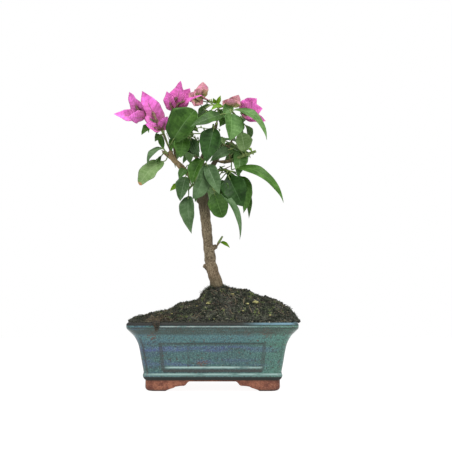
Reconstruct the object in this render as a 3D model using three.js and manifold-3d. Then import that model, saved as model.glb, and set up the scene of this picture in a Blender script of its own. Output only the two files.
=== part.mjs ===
// Bougainvillea bonsai in a glazed ceramic pot
//
// Millimetres, +Z up, seen from the front along +Y with +X to the right. The plant is laid out in the
// pot's own frame, with z = 0 on the table and the pot's middle at x = y = 0. The last lines move the
// whole object so that the origin is the bottom centre of its box.

import * as THREE from 'three';
import { mergeVertices } from 'three/addons/utils/BufferGeometryUtils.js';
import Module from 'manifold-3d';

const wasm = await Module();
wasm.setup();

// Driving dimensions
const CLEARANCE = 0.3; // between two pieces that touch on the real object
const POT_HALF_WIDTH = 75.2; // at the lip, along X
const POT_HALF_DEPTH = 59; // at the lip, along Y
const POT_HEIGHT = 60.7;
const FOOT_HEIGHT = 8.7;
const FOOT_WIDTH = 10;
const CORNER_RADIUS = 6;
const PANEL_DEPTH = 1.2; // how far the framed panels are sunk into the pot's four sides
const PANEL_LOW = 17.8;
const PANEL_HIGH = 43.3;
const FLOOR_LEVEL = 14; // inside floor of the pot
const SOIL_EDGE = 58; // level of the soil along the inside of the lip
const SOIL_CREST = 29; // height of the mound above that edge
const MOUND_HALF_WIDTH = 68.9; // of the mound's foot, along X
const MOUND_SIDE_STEPS = 11; // along each side of the mound's rings
const MOUND_RINGS = 17;
const TRUNK_SEAT = 86; // level on which the trunk's flat foot stands
const LEAF_THICKNESS = 0.7;
const LEAF_FOLD = 0.42; // radians that each half of a blade is raised from flat
const BRACT_FOLD = 0.3;
const BRACT_BLUNT = 0.35; // from 0 for a drawn-out tip to 1 for a round one
const SLIVER = 0.2; // edges shorter than this, left where blades cross, are closed up
const WELD = 1e-3; // points closer than this are one
const GOLDEN_TURN = THREE.MathUtils.degToRad( 137.5 );

// Colours, roughness and metalness
const GLAZE = { color: '#5a7f80', roughness: 0.22, metalness: 0 };
const SOIL = { color: '#3d4032', roughness: 0.95, metalness: 0 };
const BARK = { color: '#6c5f4c', roughness: 0.85, metalness: 0 };
const LEAF = { color: '#47763a', roughness: 0.5, metalness: 0 };
const BLOOM = { color: '#c961b8', roughness: 0.6, metalness: 0 };

const vec = ( x, y, z ) => new THREE.Vector3( x, y, z );
const toVec = ( p ) => vec( p[ 0 ], p[ 1 ], p[ 2 ] );

// Solids from closed meshes

function closedGeometry( positions, indices ) {

	const geometry = new THREE.BufferGeometry();
	geometry.setAttribute( 'position', new THREE.Float32BufferAttribute( positions, 3 ) );
	geometry.setIndex( indices );
	return geometry;

}

function toSolid( source, weld = 1e-4 ) {

	const geometry = source.clone();
	geometry.deleteAttribute( 'normal' );
	geometry.deleteAttribute( 'uv' );
	const merged = mergeVertices( geometry, weld );
	const vertProperties = new Float32Array( merged.attributes.position.array );
	const triVerts = new Uint32Array( merged.index.array );
	return new wasm.Manifold( new wasm.Mesh( { numProp: 3, vertProperties, triVerts } ) );

}

function toGeometry( solid ) {

	const mesh = solid.getMesh();
	const geometry = closedGeometry( Array.from( mesh.vertProperties ), Array.from( mesh.triVerts ) );
	geometry.computeVertexNormals();
	return geometry;

}

// Closes up the slivers that a union leaves and keeps its one large body, without loose scraps.
function oneBody( joined ) {

	let solid = joined;
	for ( let pass = 1; pass <= 4; pass ++ ) {

		const parts = solid.simplify( SLIVER * pass ).decompose();
		solid = toSolid( toGeometry( parts.sort( ( a, b ) => b.volume() - a.volume() )[ 0 ] ), WELD );
		if ( solid.decompose().length === 1 ) break;

	}

	return solid;

}

// Joins rings of points, each with the same count, into one closed skin with a flat fan at both ends.
function loft( rings ) {

	const count = rings[ 0 ].length;
	const positions = rings.flat().flatMap( ( p ) => [ p.x, p.y, p.z ] );
	const indices = [];
	for ( let k = 0; k < rings.length - 1; k ++ ) {

		for ( let i = 0; i < count; i ++ ) {

			const a = k * count + i;
			const b = k * count + ( i + 1 ) % count;
			indices.push( a, b, b + count, a, b + count, a + count );

		}

	}

	const last = ( rings.length - 1 ) * count;
	for ( let i = 1; i < count - 1; i ++ ) {

		indices.push( 0, i + 1, i );
		indices.push( last, last + i, last + i + 1 );

	}

	return closedGeometry( positions, indices );

}

// Pot

const POT_CORNER_STEPS = 3;

// Outline of the pot at one level: a rectangle with rounded corners, as far in from the lip on
// all sides as halfWidth is.
function potRing( halfWidth, z, radius = CORNER_RADIUS ) {

	const halfDepth = halfWidth - ( POT_HALF_WIDTH - POT_HALF_DEPTH );
	const ring = [];
	for ( let corner = 0; corner < 4; corner ++ ) {

		const signX = corner === 0 || corner === 3 ? 1 : - 1;
		const signY = corner < 2 ? 1 : - 1;
		for ( let k = 0; k <= POT_CORNER_STEPS; k ++ ) {

			const angle = ( corner + k / POT_CORNER_STEPS ) * Math.PI / 2;
			const x = signX * ( halfWidth - radius ) + radius * Math.cos( angle );
			const y = signY * ( halfDepth - radius ) + radius * Math.sin( angle );
			ring.push( vec( x, y, z ) );

		}

	}

	return ring;

}

// Each pair is a level and the half width there: the feet, the base roll, the hollow flare of the
// sides, and the rolled lip.
const OUTER_PROFILE = [
	[ 0, 56 ], [ 1.2, 58.3 ], [ 3.2, 59.4 ], [ 10.4, 59.4 ], [ 12.2, 61 ], [ 14.6, 61.4 ], [ 16, 60.8 ],
	[ 25, 62.2 ], [ 33, 63.5 ], [ 39.6, 64.8 ], [ 44.3, 66.3 ], [ 48.6, 68.7 ], [ 52.2, 72 ],
	[ 54.8, 74.4 ], [ 56.4, POT_HALF_WIDTH ], [ 59.4, POT_HALF_WIDTH ], [ POT_HEIGHT, 74 ],
];
const INNER_PROFILE = [
	[ FLOOR_LEVEL, 54 ], [ 20, 56 ], [ 30, 57.6 ], [ 42, 60 ], [ 48, 62.6 ], [ 54, 67.2 ],
	[ 59.4, 69.6 ], [ POT_HEIGHT, 71 ],
];

function potLoft( profile, inset = 0 ) {

	return toSolid( loft( profile.map( ( [ z, half ] ) => potRing( half - inset, z ) ) ) );

}

// A prism through the whole pot along X or Y. The outline is drawn in the plane across it.
function potPrism( outline, along ) {

	const length = 3 * POT_HALF_WIDTH;
	const shape = new THREE.Shape( outline );
	const geometry = new THREE.ExtrudeGeometry( shape, { depth: length, bevelEnabled: false } );
	geometry.translate( 0, 0, - length / 2 );
	geometry.rotateX( Math.PI / 2 );
	if ( along === 'x' ) geometry.rotateZ( Math.PI / 2 );
	return toSolid( geometry );

}

// The scrolled arch between two feet, from its crown out to where the foot meets the table.
function archOutline( crownHalf, shelfHalf, footHalf ) {

	const half = [
		[ crownHalf, FOOT_HEIGHT ], [ crownHalf + 2.2, 7 ], [ crownHalf + 4.4, 5 ], [ shelfHalf, 4.2 ],
		[ ( shelfHalf + footHalf ) / 2, 2.4 ], [ footHalf, 0 ], [ footHalf, - 1 ],
	];
	const right = half.map( ( [ x, y ] ) => new THREE.Vector2( x, y ) );
	const left = half.map( ( [ x, y ] ) => new THREE.Vector2( - x, y ) ).reverse();
	return [ ...right.reverse(), ...left.reverse() ];

}

function panelOutline( topHalf, lowHalf ) {

	return [
		new THREE.Vector2( - lowHalf, PANEL_LOW ), new THREE.Vector2( lowHalf, PANEL_LOW ),
		new THREE.Vector2( topHalf, PANEL_HIGH ), new THREE.Vector2( - topHalf, PANEL_HIGH ),
	];

}

function makePot() {

	const cavity = potLoft( [ ...INNER_PROFILE, [ POT_HEIGHT + 5, 71 ] ] );
	let pot = potLoft( OUTER_PROFILE ).subtract( cavity );

	const core = potLoft( OUTER_PROFILE, PANEL_DEPTH );
	const frontPanels = potPrism( panelOutline( 46.2, 45.2 ), 'y' );
	const sidePanels = potPrism( panelOutline( 30.2, 29.2 ), 'x' );
	pot = pot.subtract( frontPanels.subtract( core ) ).subtract( sidePanels.subtract( core ) );

	const underside = [ [ - 1, 59.4 - FOOT_WIDTH ], [ FOOT_HEIGHT, 59.4 - FOOT_WIDTH ] ];
	pot = pot.subtract( potLoft( underside ) );
	pot = pot.subtract( potPrism( archOutline( 20.3, 32.5, 41.6 ), 'y' ) );
	pot = pot.subtract( potPrism( archOutline( 9, 18.5, 24.5 ), 'x' ) );

	for ( const side of [ - 1, 1 ] ) {

		const drain = new THREE.CylinderGeometry( 5.5, 5.5, 20, 16 );
		drain.rotateX( Math.PI / 2 );
		drain.translate( side * 27, 0, FLOOR_LEVEL - 5 );
		pot = pot.subtract( toSolid( drain ) );

	}

	return toGeometry( pot );

}

// Soil mound

// Height of the mound: a long slope to the left, a full shoulder to the right, falling to the lip
// at front and back, with a collar of moss round the trunk and low cushions of it all over.
function soilHeight( x, y ) {

	const crestX = 8;
	const leftRun = 88;
	const rightRun = 74;
	const halfDepth = 54.5;
	const collarHeight = 5;
	const cushionHeight = 1.1;
	const left = Math.max( 0, ( crestX - x ) / leftRun );
	const right = Math.max( 0, ( x - crestX ) / rightRun );
	const along = Math.max( 0, 1 - Math.pow( left, 1.1 ) - Math.pow( right, 3.4 ) );
	const across = Math.max( 0, 1 - Math.pow( Math.abs( y ) / halfDepth, 2.4 ) );
	const collar = collarHeight * Math.exp( - ( ( x - 1 ) ** 2 + ( y + 1 ) ** 2 ) / 120 );
	const cushions = cushionHeight * Math.sin( x / 6.5 + y / 17 ) * Math.cos( y / 5.5 - x / 23 );
	return SOIL_EDGE + ( SOIL_CREST * along + cushions ) * across + collar;

}

// An outline like the pot's own, with even steps along its four straight sides.
function moundRing( halfWidth, scale ) {

	const corners = potRing( halfWidth, 0 );
	const ring = [];
	corners.forEach( ( point, index ) => {

		const next = corners[ ( index + 1 ) % corners.length ];
		const startsSide = index % ( POT_CORNER_STEPS + 1 ) === POT_CORNER_STEPS;
		const steps = startsSide ? MOUND_SIDE_STEPS : 1;
		for ( let k = 0; k < steps; k ++ ) ring.push( point.clone().lerp( next, k / steps ).multiplyScalar( scale ) );

	} );
	return ring;

}

function makeSoil( trunkFoot ) {

	const rings = [];
	for ( const [ z, half ] of INNER_PROFILE ) {

		if ( z >= SOIL_EDGE ) continue;
		const ring = moundRing( half - CLEARANCE - 0.1, 1 );
		ring.forEach( ( p ) => p.setZ( z + CLEARANCE ) );
		rings.push( ring );

	}

	for ( let k = 0; k < MOUND_RINGS; k ++ ) {

		const ring = moundRing( MOUND_HALF_WIDTH, 1 - Math.pow( k / MOUND_RINGS, 1.2 ) );
		ring.forEach( ( p ) => p.setZ( soilHeight( p.x, p.y ) ) );
		rings.push( ring );

	}

	const socket = new THREE.CylinderGeometry( trunkFoot.radius + 0.6, trunkFoot.radius + 0.6, 40, 16 );
	socket.rotateX( Math.PI / 2 );
	socket.translate( trunkFoot.x, trunkFoot.y, TRUNK_SEAT + 20 );
	return toGeometry( toSolid( loft( rings ) ).subtract( toSolid( socket ) ) );

}

// Limbs

// A limb is a smooth path through a few points, with radii spread evenly along it.
function makeLimb( points, radii ) {

	const curve = new THREE.CatmullRomCurve3( points.map( toVec ), false, 'catmullrom', 0.5 );
	return { curve, radii };

}

function limbRadius( limb, t ) {

	const last = limb.radii.length - 1;
	const k = Math.min( last - 1, Math.floor( t * last ) );
	return THREE.MathUtils.lerp( limb.radii[ k ], limb.radii[ k + 1 ], t * last - k );

}

function limbGeometry( limb, segments, sides ) {

	const frames = limb.curve.computeFrenetFrames( segments, false );
	const rings = [];
	for ( let k = 0; k <= segments; k ++ ) {

		const centre = limb.curve.getPoint( k / segments );
		const radius = limbRadius( limb, k / segments );
		const ring = [];
		for ( let i = 0; i < sides; i ++ ) {

			const angle = i / sides * 2 * Math.PI;
			const point = centre.clone();
			point.addScaledVector( frames.normals[ k ], radius * Math.cos( angle ) );
			point.addScaledVector( frames.binormals[ k ], radius * Math.sin( angle ) );
			ring.push( point );

		}

		rings.push( ring );

	}

	return loft( rings );

}

// The trunk leans left as it rises, with a flat cut foot below the moss and a flare above it.
const TRUNK = makeLimb( [
	[ 4.8, 0, TRUNK_SEAT + CLEARANCE ], [ 4.2, 0, 90 ], [ 2.4, 0, 96 ], [ 0.2, 0.5, 103 ], [ - 1.9, 1, 112 ],
	[ - 3.4, 1.5, 122 ], [ - 4.8, 1.5, 134 ], [ - 6.3, 1, 150 ], [ - 8.6, 0.5, 168 ], [ - 11.2, 0, 185 ],
	[ - 10.8, 0, 199 ],
], [ 7.4, 6.2, 5.7, 5.2, 5.1, 4.8, 4.4, 4.5, 5, 5, 4.6 ] );

// A healed stub: a short blunt cone that stands out of the trunk.
function stub( from, to, radius ) {

	return toSolid( limbGeometry( makeLimb( [ from, to ], [ radius, radius * 0.55 ] ), 1, 6 ) );

}

function makeTrunk() {

	const foot = { x: 4.8, y: 0, z: TRUNK_SEAT + CLEARANCE };
	let trunk = toSolid( limbGeometry( TRUNK, 16, 9 ) );
	const below = new THREE.BoxGeometry( 60, 60, 20 );
	below.translate( foot.x, foot.y, foot.z - 10 );
	trunk = trunk.add( stub( [ - 2.5, 1, 107.5 ], [ - 9, - 1, 110.6 ], 2.8 ) );
	trunk = trunk.add( stub( [ - 3, 1, 125 ], [ 3, - 2, 127.6 ], 2.2 ) );
	trunk = trunk.add( stub( [ - 9.5, 0, 167 ], [ - 14.4, - 1, 169.5 ], 2.6 ) );
	return toGeometry( trunk.subtract( toSolid( below ) ) );

}

const BOUGHS = {
	bough_left: makeLimb( [
		[ - 18.1, - 0.5, 190.3 ], [ - 23.5, - 1.5, 194.5 ], [ - 30, - 3, 200.8 ], [ - 36.4, - 4.5, 207.5 ],
		[ - 38.8, - 6, 214.5 ],
	], [ 2.7, 2.5, 2.3, 2.1, 1.7 ] ),
	bough_right: makeLimb( [
		[ - 3.1, 2, 194.2 ], [ - 0.4, 3, 201 ], [ 4, 3.5, 208.6 ], [ 9.5, 2.5, 214.5 ], [ 14.5, 0.5, 219.5 ],
	], [ 2.5, 2.4, 2.1, 1.9, 1.5 ] ),
	bough_leader: makeLimb( [
		[ - 10.7, 0, 199.4 ], [ - 9.8, - 1, 207 ], [ - 5.5, - 2.5, 218 ], [ 0.5, - 3, 229 ], [ 3.4, - 3.5, 240 ],
	], [ 2.7, 2.4, 2, 1.7, 1.4 ] ),
	bough_back: makeLimb( [
		[ - 11.6, 6.6, 191.6 ], [ - 13, 12, 197.2 ], [ - 15, 19, 206 ], [ - 15.5, 25, 214 ],
	], [ 2.4, 2.2, 1.9, 1.5 ] ),
};

// Blades: leaves and bracts

// A blade starts at foot and its tip lies at foot + reach. Facing is the way its upper side looks, and
// sag is the angle in degrees through which it bends on the way: away from that side where it is
// positive, towards it where it is negative.
function bladeFrame( blade ) {

	const chord = toVec( blade.reach );
	const along = chord.clone().normalize();
	const facing = blade.facing.clone();
	const up = facing.addScaledVector( along, - facing.dot( along ) ).normalize();
	const half = THREE.MathUtils.degToRad( blade.sag ) / 2;
	const length = chord.length() * half / Math.sin( half );
	return { foot: toVec( blade.foot ), along, up, side: up.clone().cross( along ), half, length };

}

function bladeSpine( frame, t ) {

	const { foot, along, up, half, length } = frame;
	const angle = half * ( 1 - 2 * t );
	const forward = ( Math.sin( half ) - Math.sin( angle ) ) / ( 2 * half );
	const rise = ( Math.cos( angle ) - Math.cos( half ) ) / ( 2 * half );
	const point = foot.clone().addScaledVector( along, length * forward ).addScaledVector( up, length * rise );
	const normal = up.clone().multiplyScalar( Math.cos( angle ) ).addScaledVector( along, - Math.sin( angle ) );
	return { point, normal };

}

// Half width of a blade at t, as a share of its greatest: widest at a third, drawn out to a point.
function bladeOutline( t, blunt ) {

	const rise = 0.7;
	const fall = 1.25 - 0.65 * blunt;
	const peak = rise / ( rise + fall );
	const greatest = Math.pow( peak, rise ) * Math.pow( 1 - peak, fall );
	return Math.pow( t, rise ) * Math.pow( 1 - t, fall ) / greatest;

}

// Points down the spine and along both edges, which the rule keeps clear of other pieces.
function bladePoints( blade ) {

	const frame = bladeFrame( blade );
	const points = [];
	for ( let k = 0; k <= 6; k ++ ) {

		const t = k / 6;
		const { point, normal } = bladeSpine( frame, t );
		const half = blade.width / 2 * bladeOutline( t, blade.blunt );
		for ( const edge of [ - 1, 0, 1 ] ) {

			const place = point.clone().addScaledVector( frame.side, edge * half * Math.cos( blade.fold ) );
			points.push( place.addScaledVector( normal, Math.abs( edge ) * half * Math.sin( blade.fold ) ) );

		}

	}

	return points;

}

function bladeSolid( blade ) {

	const frame = bladeFrame( blade );
	let stations = [ 0.3, 0.72 ];
	if ( blade.length > 12 && ! blade.plain ) stations = [ 0.12, 0.42, 0.76 ];
	if ( blade.length > 24 && ! blade.plain ) stations = [ 0.1, 0.34, 0.6, 0.84 ];
	const root = bladeSpine( frame, 0 );
	const tip = bladeSpine( frame, 1 );
	const positions = [ ...root.point.toArray() ];
	for ( const t of stations ) {

		const { point, normal } = bladeSpine( frame, t );
		const half = blade.width / 2 * bladeOutline( t, blade.blunt );
		const inward = frame.side.clone().multiplyScalar( half * Math.cos( blade.fold ) );
		const lift = normal.clone().multiplyScalar( half * Math.sin( blade.fold ) );
		const skin = normal.clone().multiplyScalar( LEAF_THICKNESS / 2 );
		positions.push( ...point.clone().add( inward ).add( lift ).toArray() );
		positions.push( ...point.clone().add( skin ).toArray() );
		positions.push( ...point.clone().sub( inward ).add( lift ).toArray() );
		positions.push( ...point.clone().sub( skin ).toArray() );

	}

	positions.push( ...tip.point.toArray() );
	const last = positions.length / 3 - 1;
	const indices = [];
	for ( let i = 0; i < 4; i ++ ) {

		const next = ( i + 1 ) % 4;
		indices.push( 0, 1 + next, 1 + i );
		for ( let k = 0; k < stations.length - 1; k ++ ) {

			const a = 1 + 4 * k + i;
			const b = 1 + 4 * k + next;
			indices.push( a, b, b + 4, a, b + 4, a + 4 );

		}

		indices.push( last, last - 4 + i, last - 4 + next );

	}

	return toSolid( closedGeometry( positions, indices ) );

}

// Foliage

// The rule's own stream of numbers, the same each time for the same seed.
function seeded( seed ) {

	let state = seed;
	return () => {

		state = state * 16807 % 2147483647;
		return state / 2147483647;

	};

}

const CROWN_MIDDLE = vec( - 6, 0, 206 );

// Leaves turn their upper side to the light, up and away from the middle of the crown.
function lightAt( point ) {

	const away = point.clone().sub( CROWN_MIDDLE );
	away.z *= 0.4;
	return away.normalize().add( vec( 0, 0, 0.85 ) ).normalize();

}

// A leaf, or one bract of a bloom, which faces the light where it isn't given its own way to face.
function leaf( foot, reach, width, facing = null, sag = 30, blunt = 0, fold = LEAF_FOLD ) {

	const middle = toVec( foot ).addScaledVector( toVec( reach ), 0.5 );
	const upward = facing ? toVec( facing ) : lightAt( middle );
	return { foot, reach, width, facing: upward, sag, blunt, fold, length: toVec( reach ).length() };

}

// A bloom is three or four papery bracts round a slim tube, and opens along the given line.
function bloom( foot, opens, bracts ) {

	const axis = toVec( opens ).normalize();
	const blades = bracts.map( ( [ reach, width, facing, sag ] ) => {

		return leaf( foot, reach, width, facing, sag, BRACT_BLUNT, BRACT_FOLD );

	} );
	return { foot, axis, blades };

}

// Each mass has a stem that starts on a limb, the leaves and blooms that lead its outline, and
// shoots that fill the rest of its space by the rule.
const MASSES = [
	{
		name: 'foliage_left_low', limb: 'bough_left', at: 0.86,
		stem: [ [ - 41.5, - 8, 211.5 ], [ - 43.5, - 9.5, 214 ] ],
		leaves: [
			leaf( [ - 44.5, - 9, 204.5 ], [ - 21.5, - 6, - 22 ], 19, [ - 0.4, - 0.8, 0.45 ], 64, 0.9, 0.1 ),
			leaf( [ - 45, - 10, 216 ], [ - 14, - 5, - 15.5 ], 9.5, [ - 0.45, - 0.65, 0.6 ], 110, 0, 0.15 ),
		],
		blooms: [],
		shoots: 2, shootLength: 8, leafLength: 13,
		middle: [ - 46, - 2, 205 ], radii: [ 17, 22, 20 ], seed: 1101,
	},
	{
		name: 'foliage_left_high', limb: 'bough_left', at: 1,
		stem: [
			[ - 41.5, - 7, 221 ], [ - 44, - 8, 227.5 ], [ - 46, - 9, 232 ], [ - 52, - 8, 239.5 ], [ - 60.5, - 6, 245.5 ],
		],
		leaves: [
			leaf( [ - 57, - 5, 238 ], [ - 8, - 2, - 9.5 ], 8, [ - 0.3, - 0.9, 0.3 ], 20, 0 ),
			leaf( [ - 46.5, - 9, 228 ], [ - 6, - 4, - 6 ], 8, [ - 0.3, - 0.9, 0.3 ], 30, 0 ),
			leaf( [ - 47.5, - 5, 228 ], [ 3, - 2, - 13.5 ], 6.5, [ - 0.2, - 1, 0 ], 20, 0 ),
		],
		blooms: [
			bloom( [ - 60.5, - 6, 245.5 ], [ - 20, - 8, 14 ], [
				[ [ - 29.5, - 2, 2 ], 13, [ 0, - 1, 0.3 ], - 20 ],
				[ [ - 16, 5, 23 ], 15, [ - 0.75, - 0.65, 0 ], 34 ],
				[ [ - 16, - 9, - 1.5 ], 14, [ 0, 0.8, 0.5 ], - 45 ],
			] ),
			bloom( [ - 46.5, - 11, 232.5 ], [ - 6, - 8, 20 ], [
				[ [ - 18, 7, 36.5 ], 20, [ - 0.1, - 1, 0.1 ], - 25 ],
				[ [ - 14.5, - 7, 5 ], 10, [ - 0.2, - 0.9, 0.5 ], - 20 ],
				[ [ 5.5, - 6, 12 ], 12, [ 0.3, - 1, 0 ], - 25 ],
			] ),
		],
		shoots: 2, shootLength: 8, leafLength: 12,
		middle: [ - 52, 4, 238 ], radii: [ 16, 20, 16 ], seed: 1207,
	},
	{
		name: 'foliage_top_left', limb: 'bough_left', at: 0.7,
		stem: [ [ - 35, - 1, 213 ], [ - 35.5, - 1.5, 224 ], [ - 34, - 2.5, 238 ], [ - 35, - 4.5, 250.5 ] ],
		leaves: [
			leaf( [ - 36.5, - 14, 222 ], [ 20.5, - 4, 28 ], 30.5, [ - 0.15, - 1, 0.35 ], 36, 1 ),
			leaf( [ - 26.5, - 12, 226 ], [ - 2.5, - 5, - 19 ], 17, [ 0, - 1, 0.3 ], 30, 0.35 ),
			leaf( [ - 20, - 4, 226.5 ], [ - 0.5, - 1, - 15.5 ], 9, [ - 0.2, - 1, 0.2 ], 20, 0 ),
			leaf( [ - 36.5, - 9, 226 ], [ - 1, - 2, - 13 ], 6.5, [ - 0.2, - 1, 0.2 ], 20, 0 ),
			leaf( [ - 18, - 6, 227 ], [ - 6, - 3, 5 ], 5.5, [ - 0.2, - 1, 0.3 ], 20, 0 ),
		],
		blooms: [
			bloom( [ - 35.5, - 4.5, 250.5 ], [ 4, - 6, 18 ], [
				[ [ 6, 2.5, 28 ], 18, [ - 0.6, - 0.8, 0 ], - 20 ],
				[ [ - 6.5, - 1.5, 18 ], 12, [ - 0.5, - 0.8, 0.3 ], 20 ],
				[ [ 14.5, 4.5, 21.5 ], 17, [ - 0.2, - 1, 0.2 ], - 20 ],
				[ [ 26, - 9.5, 13.5 ], 9, [ - 0.2, - 0.5, 0.8 ], 20 ],
			] ),
		],
		shoots: 4, shootLength: 12, leafLength: 20,
		middle: [ - 27, 10, 232 ], radii: [ 18, 22, 20 ], seed: 1303,
	},
	{
		name: 'foliage_top', limb: 'bough_leader', at: 1,
		stem: [ [ 4.5, - 4, 246 ], [ 5, - 4, 252 ], [ 2.5, - 3, 258.5 ] ],
		leaves: [
			leaf( [ 9, - 15, 246.5 ], [ - 29.5, - 19, - 13.5 ], 13.5, [ - 0.2, - 0.9, 0.4 ], 24, 0, 0.15 ),
			leaf( [ 15, - 8, 256 ], [ - 5.5, - 6, - 13 ], 11, [ 0.2, - 1, 0.1 ], 30, 0 ),
			leaf( [ 9, - 7, 254.5 ], [ - 11, - 4, - 4 ], 7, [ - 0.1, - 0.7, 0.7 ], 60, 0 ),
			leaf( [ 2.5, - 3, 257.5 ], [ - 2.5, - 2, 5 ], 4, [ - 0.3, - 1, 0.3 ], 20, 0 ),
			leaf( [ 3.5, - 3, 257 ], [ 3.5, - 1, 8 ], 4.5, [ 0.3, - 1, 0.3 ], 20, 0 ),
		],
		blooms: [
			bloom( [ - 9.5, - 3, 262.5 ], [ - 4, - 3, 9 ], [
				[ [ 0.5, 1, 15 ], 13, [ - 0.3, - 0.95, 0.1 ], 16 ],
				[ [ - 7.5, - 3, 7.5 ], 12, [ - 0.2, - 0.95, 0.3 ], - 20 ],
				[ [ 4, - 9, - 1.5 ], 11, [ 0, 0.7, 0.7 ], - 30 ],
			] ),
			bloom( [ - 14.5, - 4, 261 ], [ - 3, - 6, - 4 ], [
				[ [ - 7.5, - 3, 5.5 ], 12, [ - 0.1, - 1, 0.2 ], - 20 ],
				[ [ - 2.5, - 4, - 6.5 ], 12, [ 0, - 1, - 0.2 ], - 20 ],
				[ [ 5, - 4, - 5 ], 9, [ 0.2, - 1, 0 ], - 20 ],
			] ),
			bloom( [ 17, - 8, 253.5 ], [ 3, - 2, 9 ], [
				[ [ 6.5, 1, 11.5 ], 12, [ 0.3, - 0.95, 0.1 ], - 20 ],
				[ [ - 8.5, - 3, 5.5 ], 13, [ - 0.3, - 0.9, 0.3 ], - 20 ],
				[ [ - 1, - 9, 7 ], 12, [ 0, 0.7, 0.7 ], - 30 ],
			] ),
		],
		shoots: 3, shootLength: 10, leafLength: 17,
		middle: [ 2, 12, 243 ], radii: [ 18, 20, 16 ], seed: 1409,
	},
	{
		name: 'foliage_right_high', limb: 'bough_right', at: 1,
		stem: [ [ 18, - 2, 226 ], [ 21, - 5, 235 ], [ 24, - 7, 243 ], [ 30.5, - 5, 246 ] ],
		leaves: [
			leaf( [ 16, - 19, 247 ], [ - 1, - 6, - 25.5 ], 24, [ 0.6, - 0.8, 0.1 ], 34, 0.25 ),
			leaf( [ 17.5, - 11, 250.5 ], [ 31, - 8, - 28 ], 12.5, [ 0.5, - 0.65, 0.58 ], 108, 0, 0.12 ),
			leaf( [ 29, - 10, 213.5 ], [ - 3.5, - 4, 16.5 ], 16.5, [ 0.15, - 1, 0.1 ], 20, 1 ),
			leaf( [ 12, - 6, 244 ], [ - 6, - 3, - 8.5 ], 8, [ - 0.2, - 1, 0.2 ], 24, 0 ),
		],
		blooms: [
			bloom( [ 25, - 5, 249 ], [ 6, - 2, 14 ], [
				[ [ 15, 4, 13.5 ], 16, [ 0.1, - 1, 0.1 ], - 20 ],
				[ [ 20, - 3, 3.5 ], 19, [ 0.1, - 1, 0.2 ], - 20 ],
				[ [ 23, 1, - 7.5 ], 12, [ 0.3, - 0.9, 0.2 ], - 20 ],
			] ),
		],
		shoots: 3, shootLength: 10, leafLength: 18,
		middle: [ 24, 10, 232 ], radii: [ 17, 20, 18 ], seed: 1511,
	},
	{
		name: 'foliage_right', limb: 'bough_right', at: 0.42, stemRadii: [ 0.8, 1.5, 1.7, 1.5, 1.2 ],
		stem: [ [ 9, - 2.5, 204.5 ], [ 17, - 5, 205.5 ], [ 28, - 6.5, 210 ], [ 39, - 7.5, 213.8 ] ],
		leaves: [
			leaf( [ 19, - 9, 197.5 ], [ 44.5, - 12, - 31.5 ], 14, [ 0.42, - 0.7, 0.58 ], 106, 0, 0.1 ),
			leaf( [ 25.5, - 1, 214.5 ], [ - 3, - 14, - 25 ], 15, [ 0.1, - 1, 0.1 ], 16, 0 ),
			leaf( [ 16.5, - 2, 206 ], [ 15.5, - 2, 6.5 ], 9, [ 0, - 0.8, 0.6 ], 24, 0 ),
			leaf( [ 35.5, - 8, 213.5 ], [ - 4, - 4, 2 ], 5, [ 0, - 0.8, 0.6 ], 20, 0 ),
		],
		blooms: [],
		shoots: 3, shootLength: 12, leafLength: 19,
		middle: [ 20, 12, 206 ], radii: [ 14.5, 18, 14 ], seed: 1613,
	},
	{
		name: 'foliage_centre', limb: 'bough_leader', at: 0.72,
		stem: [ [ - 2.5, - 9, 229 ], [ 0, - 17, 234 ], [ 0.5, - 23, 236.5 ] ],
		leaves: [
			leaf( [ 1, - 23, 233 ], [ - 6.5, - 7, - 31 ], 21, [ - 0.15, - 1, 0.1 ], 30, 0.3 ),
			leaf( [ 15, - 14, 215 ], [ - 18, - 7, - 12 ], 11, [ 0.1, - 0.9, 0.4 ], 34, 0 ),
			leaf( [ - 20, - 12.5, 224 ], [ 8, - 4, - 17 ], 11, [ - 0.3, - 0.95, 0.1 ], 30, 0 ),
			leaf( [ 6.5, - 19, 226 ], [ 4.5, - 3, - 8.5 ], 5, [ 0.2, - 1, 0.2 ], 20, 0 ),
			leaf( [ - 12, - 13.5, 208 ], [ - 17.5, - 2, 4.5 ], 10, [ 0, - 0.4, 0.9 ], 30, 0 ),
		],
		blooms: [],
		shoots: 2, shootLength: 8, leafLength: 16,
		middle: [ - 4, - 14, 220 ], radii: [ 14, 14, 16 ], seed: 1709,
	},
	{
		name: 'foliage_centre_low', limb: 'trunk', at: 0.97,
		stem: [ [ - 8.5, - 12, 200 ], [ - 6, - 22, 202 ] ],
		leaves: [
			leaf( [ - 6, - 25, 199.5 ], [ - 11.5, - 9, - 30 ], 18, [ 0.5, - 0.85, - 0.1 ], 46, 0.8 ),
			leaf( [ - 5.5, - 25, 200.5 ], [ 11.5, - 9, - 27.5 ], 15, [ 0.1, - 1, 0.2 ], 34, 0.2 ),
		],
		blooms: [],
		shoots: 0, shootLength: 8, leafLength: 16,
		middle: [ - 4, - 20, 190 ], radii: [ 14, 14, 16 ], seed: 1801,
	},
	{
		name: 'foliage_right_low', limb: 'trunk', at: 0.93,
		stem: [ [ 0, - 4.5, 194 ], [ 8, - 9, 196.5 ], [ 17, - 14, 195 ] ],
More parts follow.
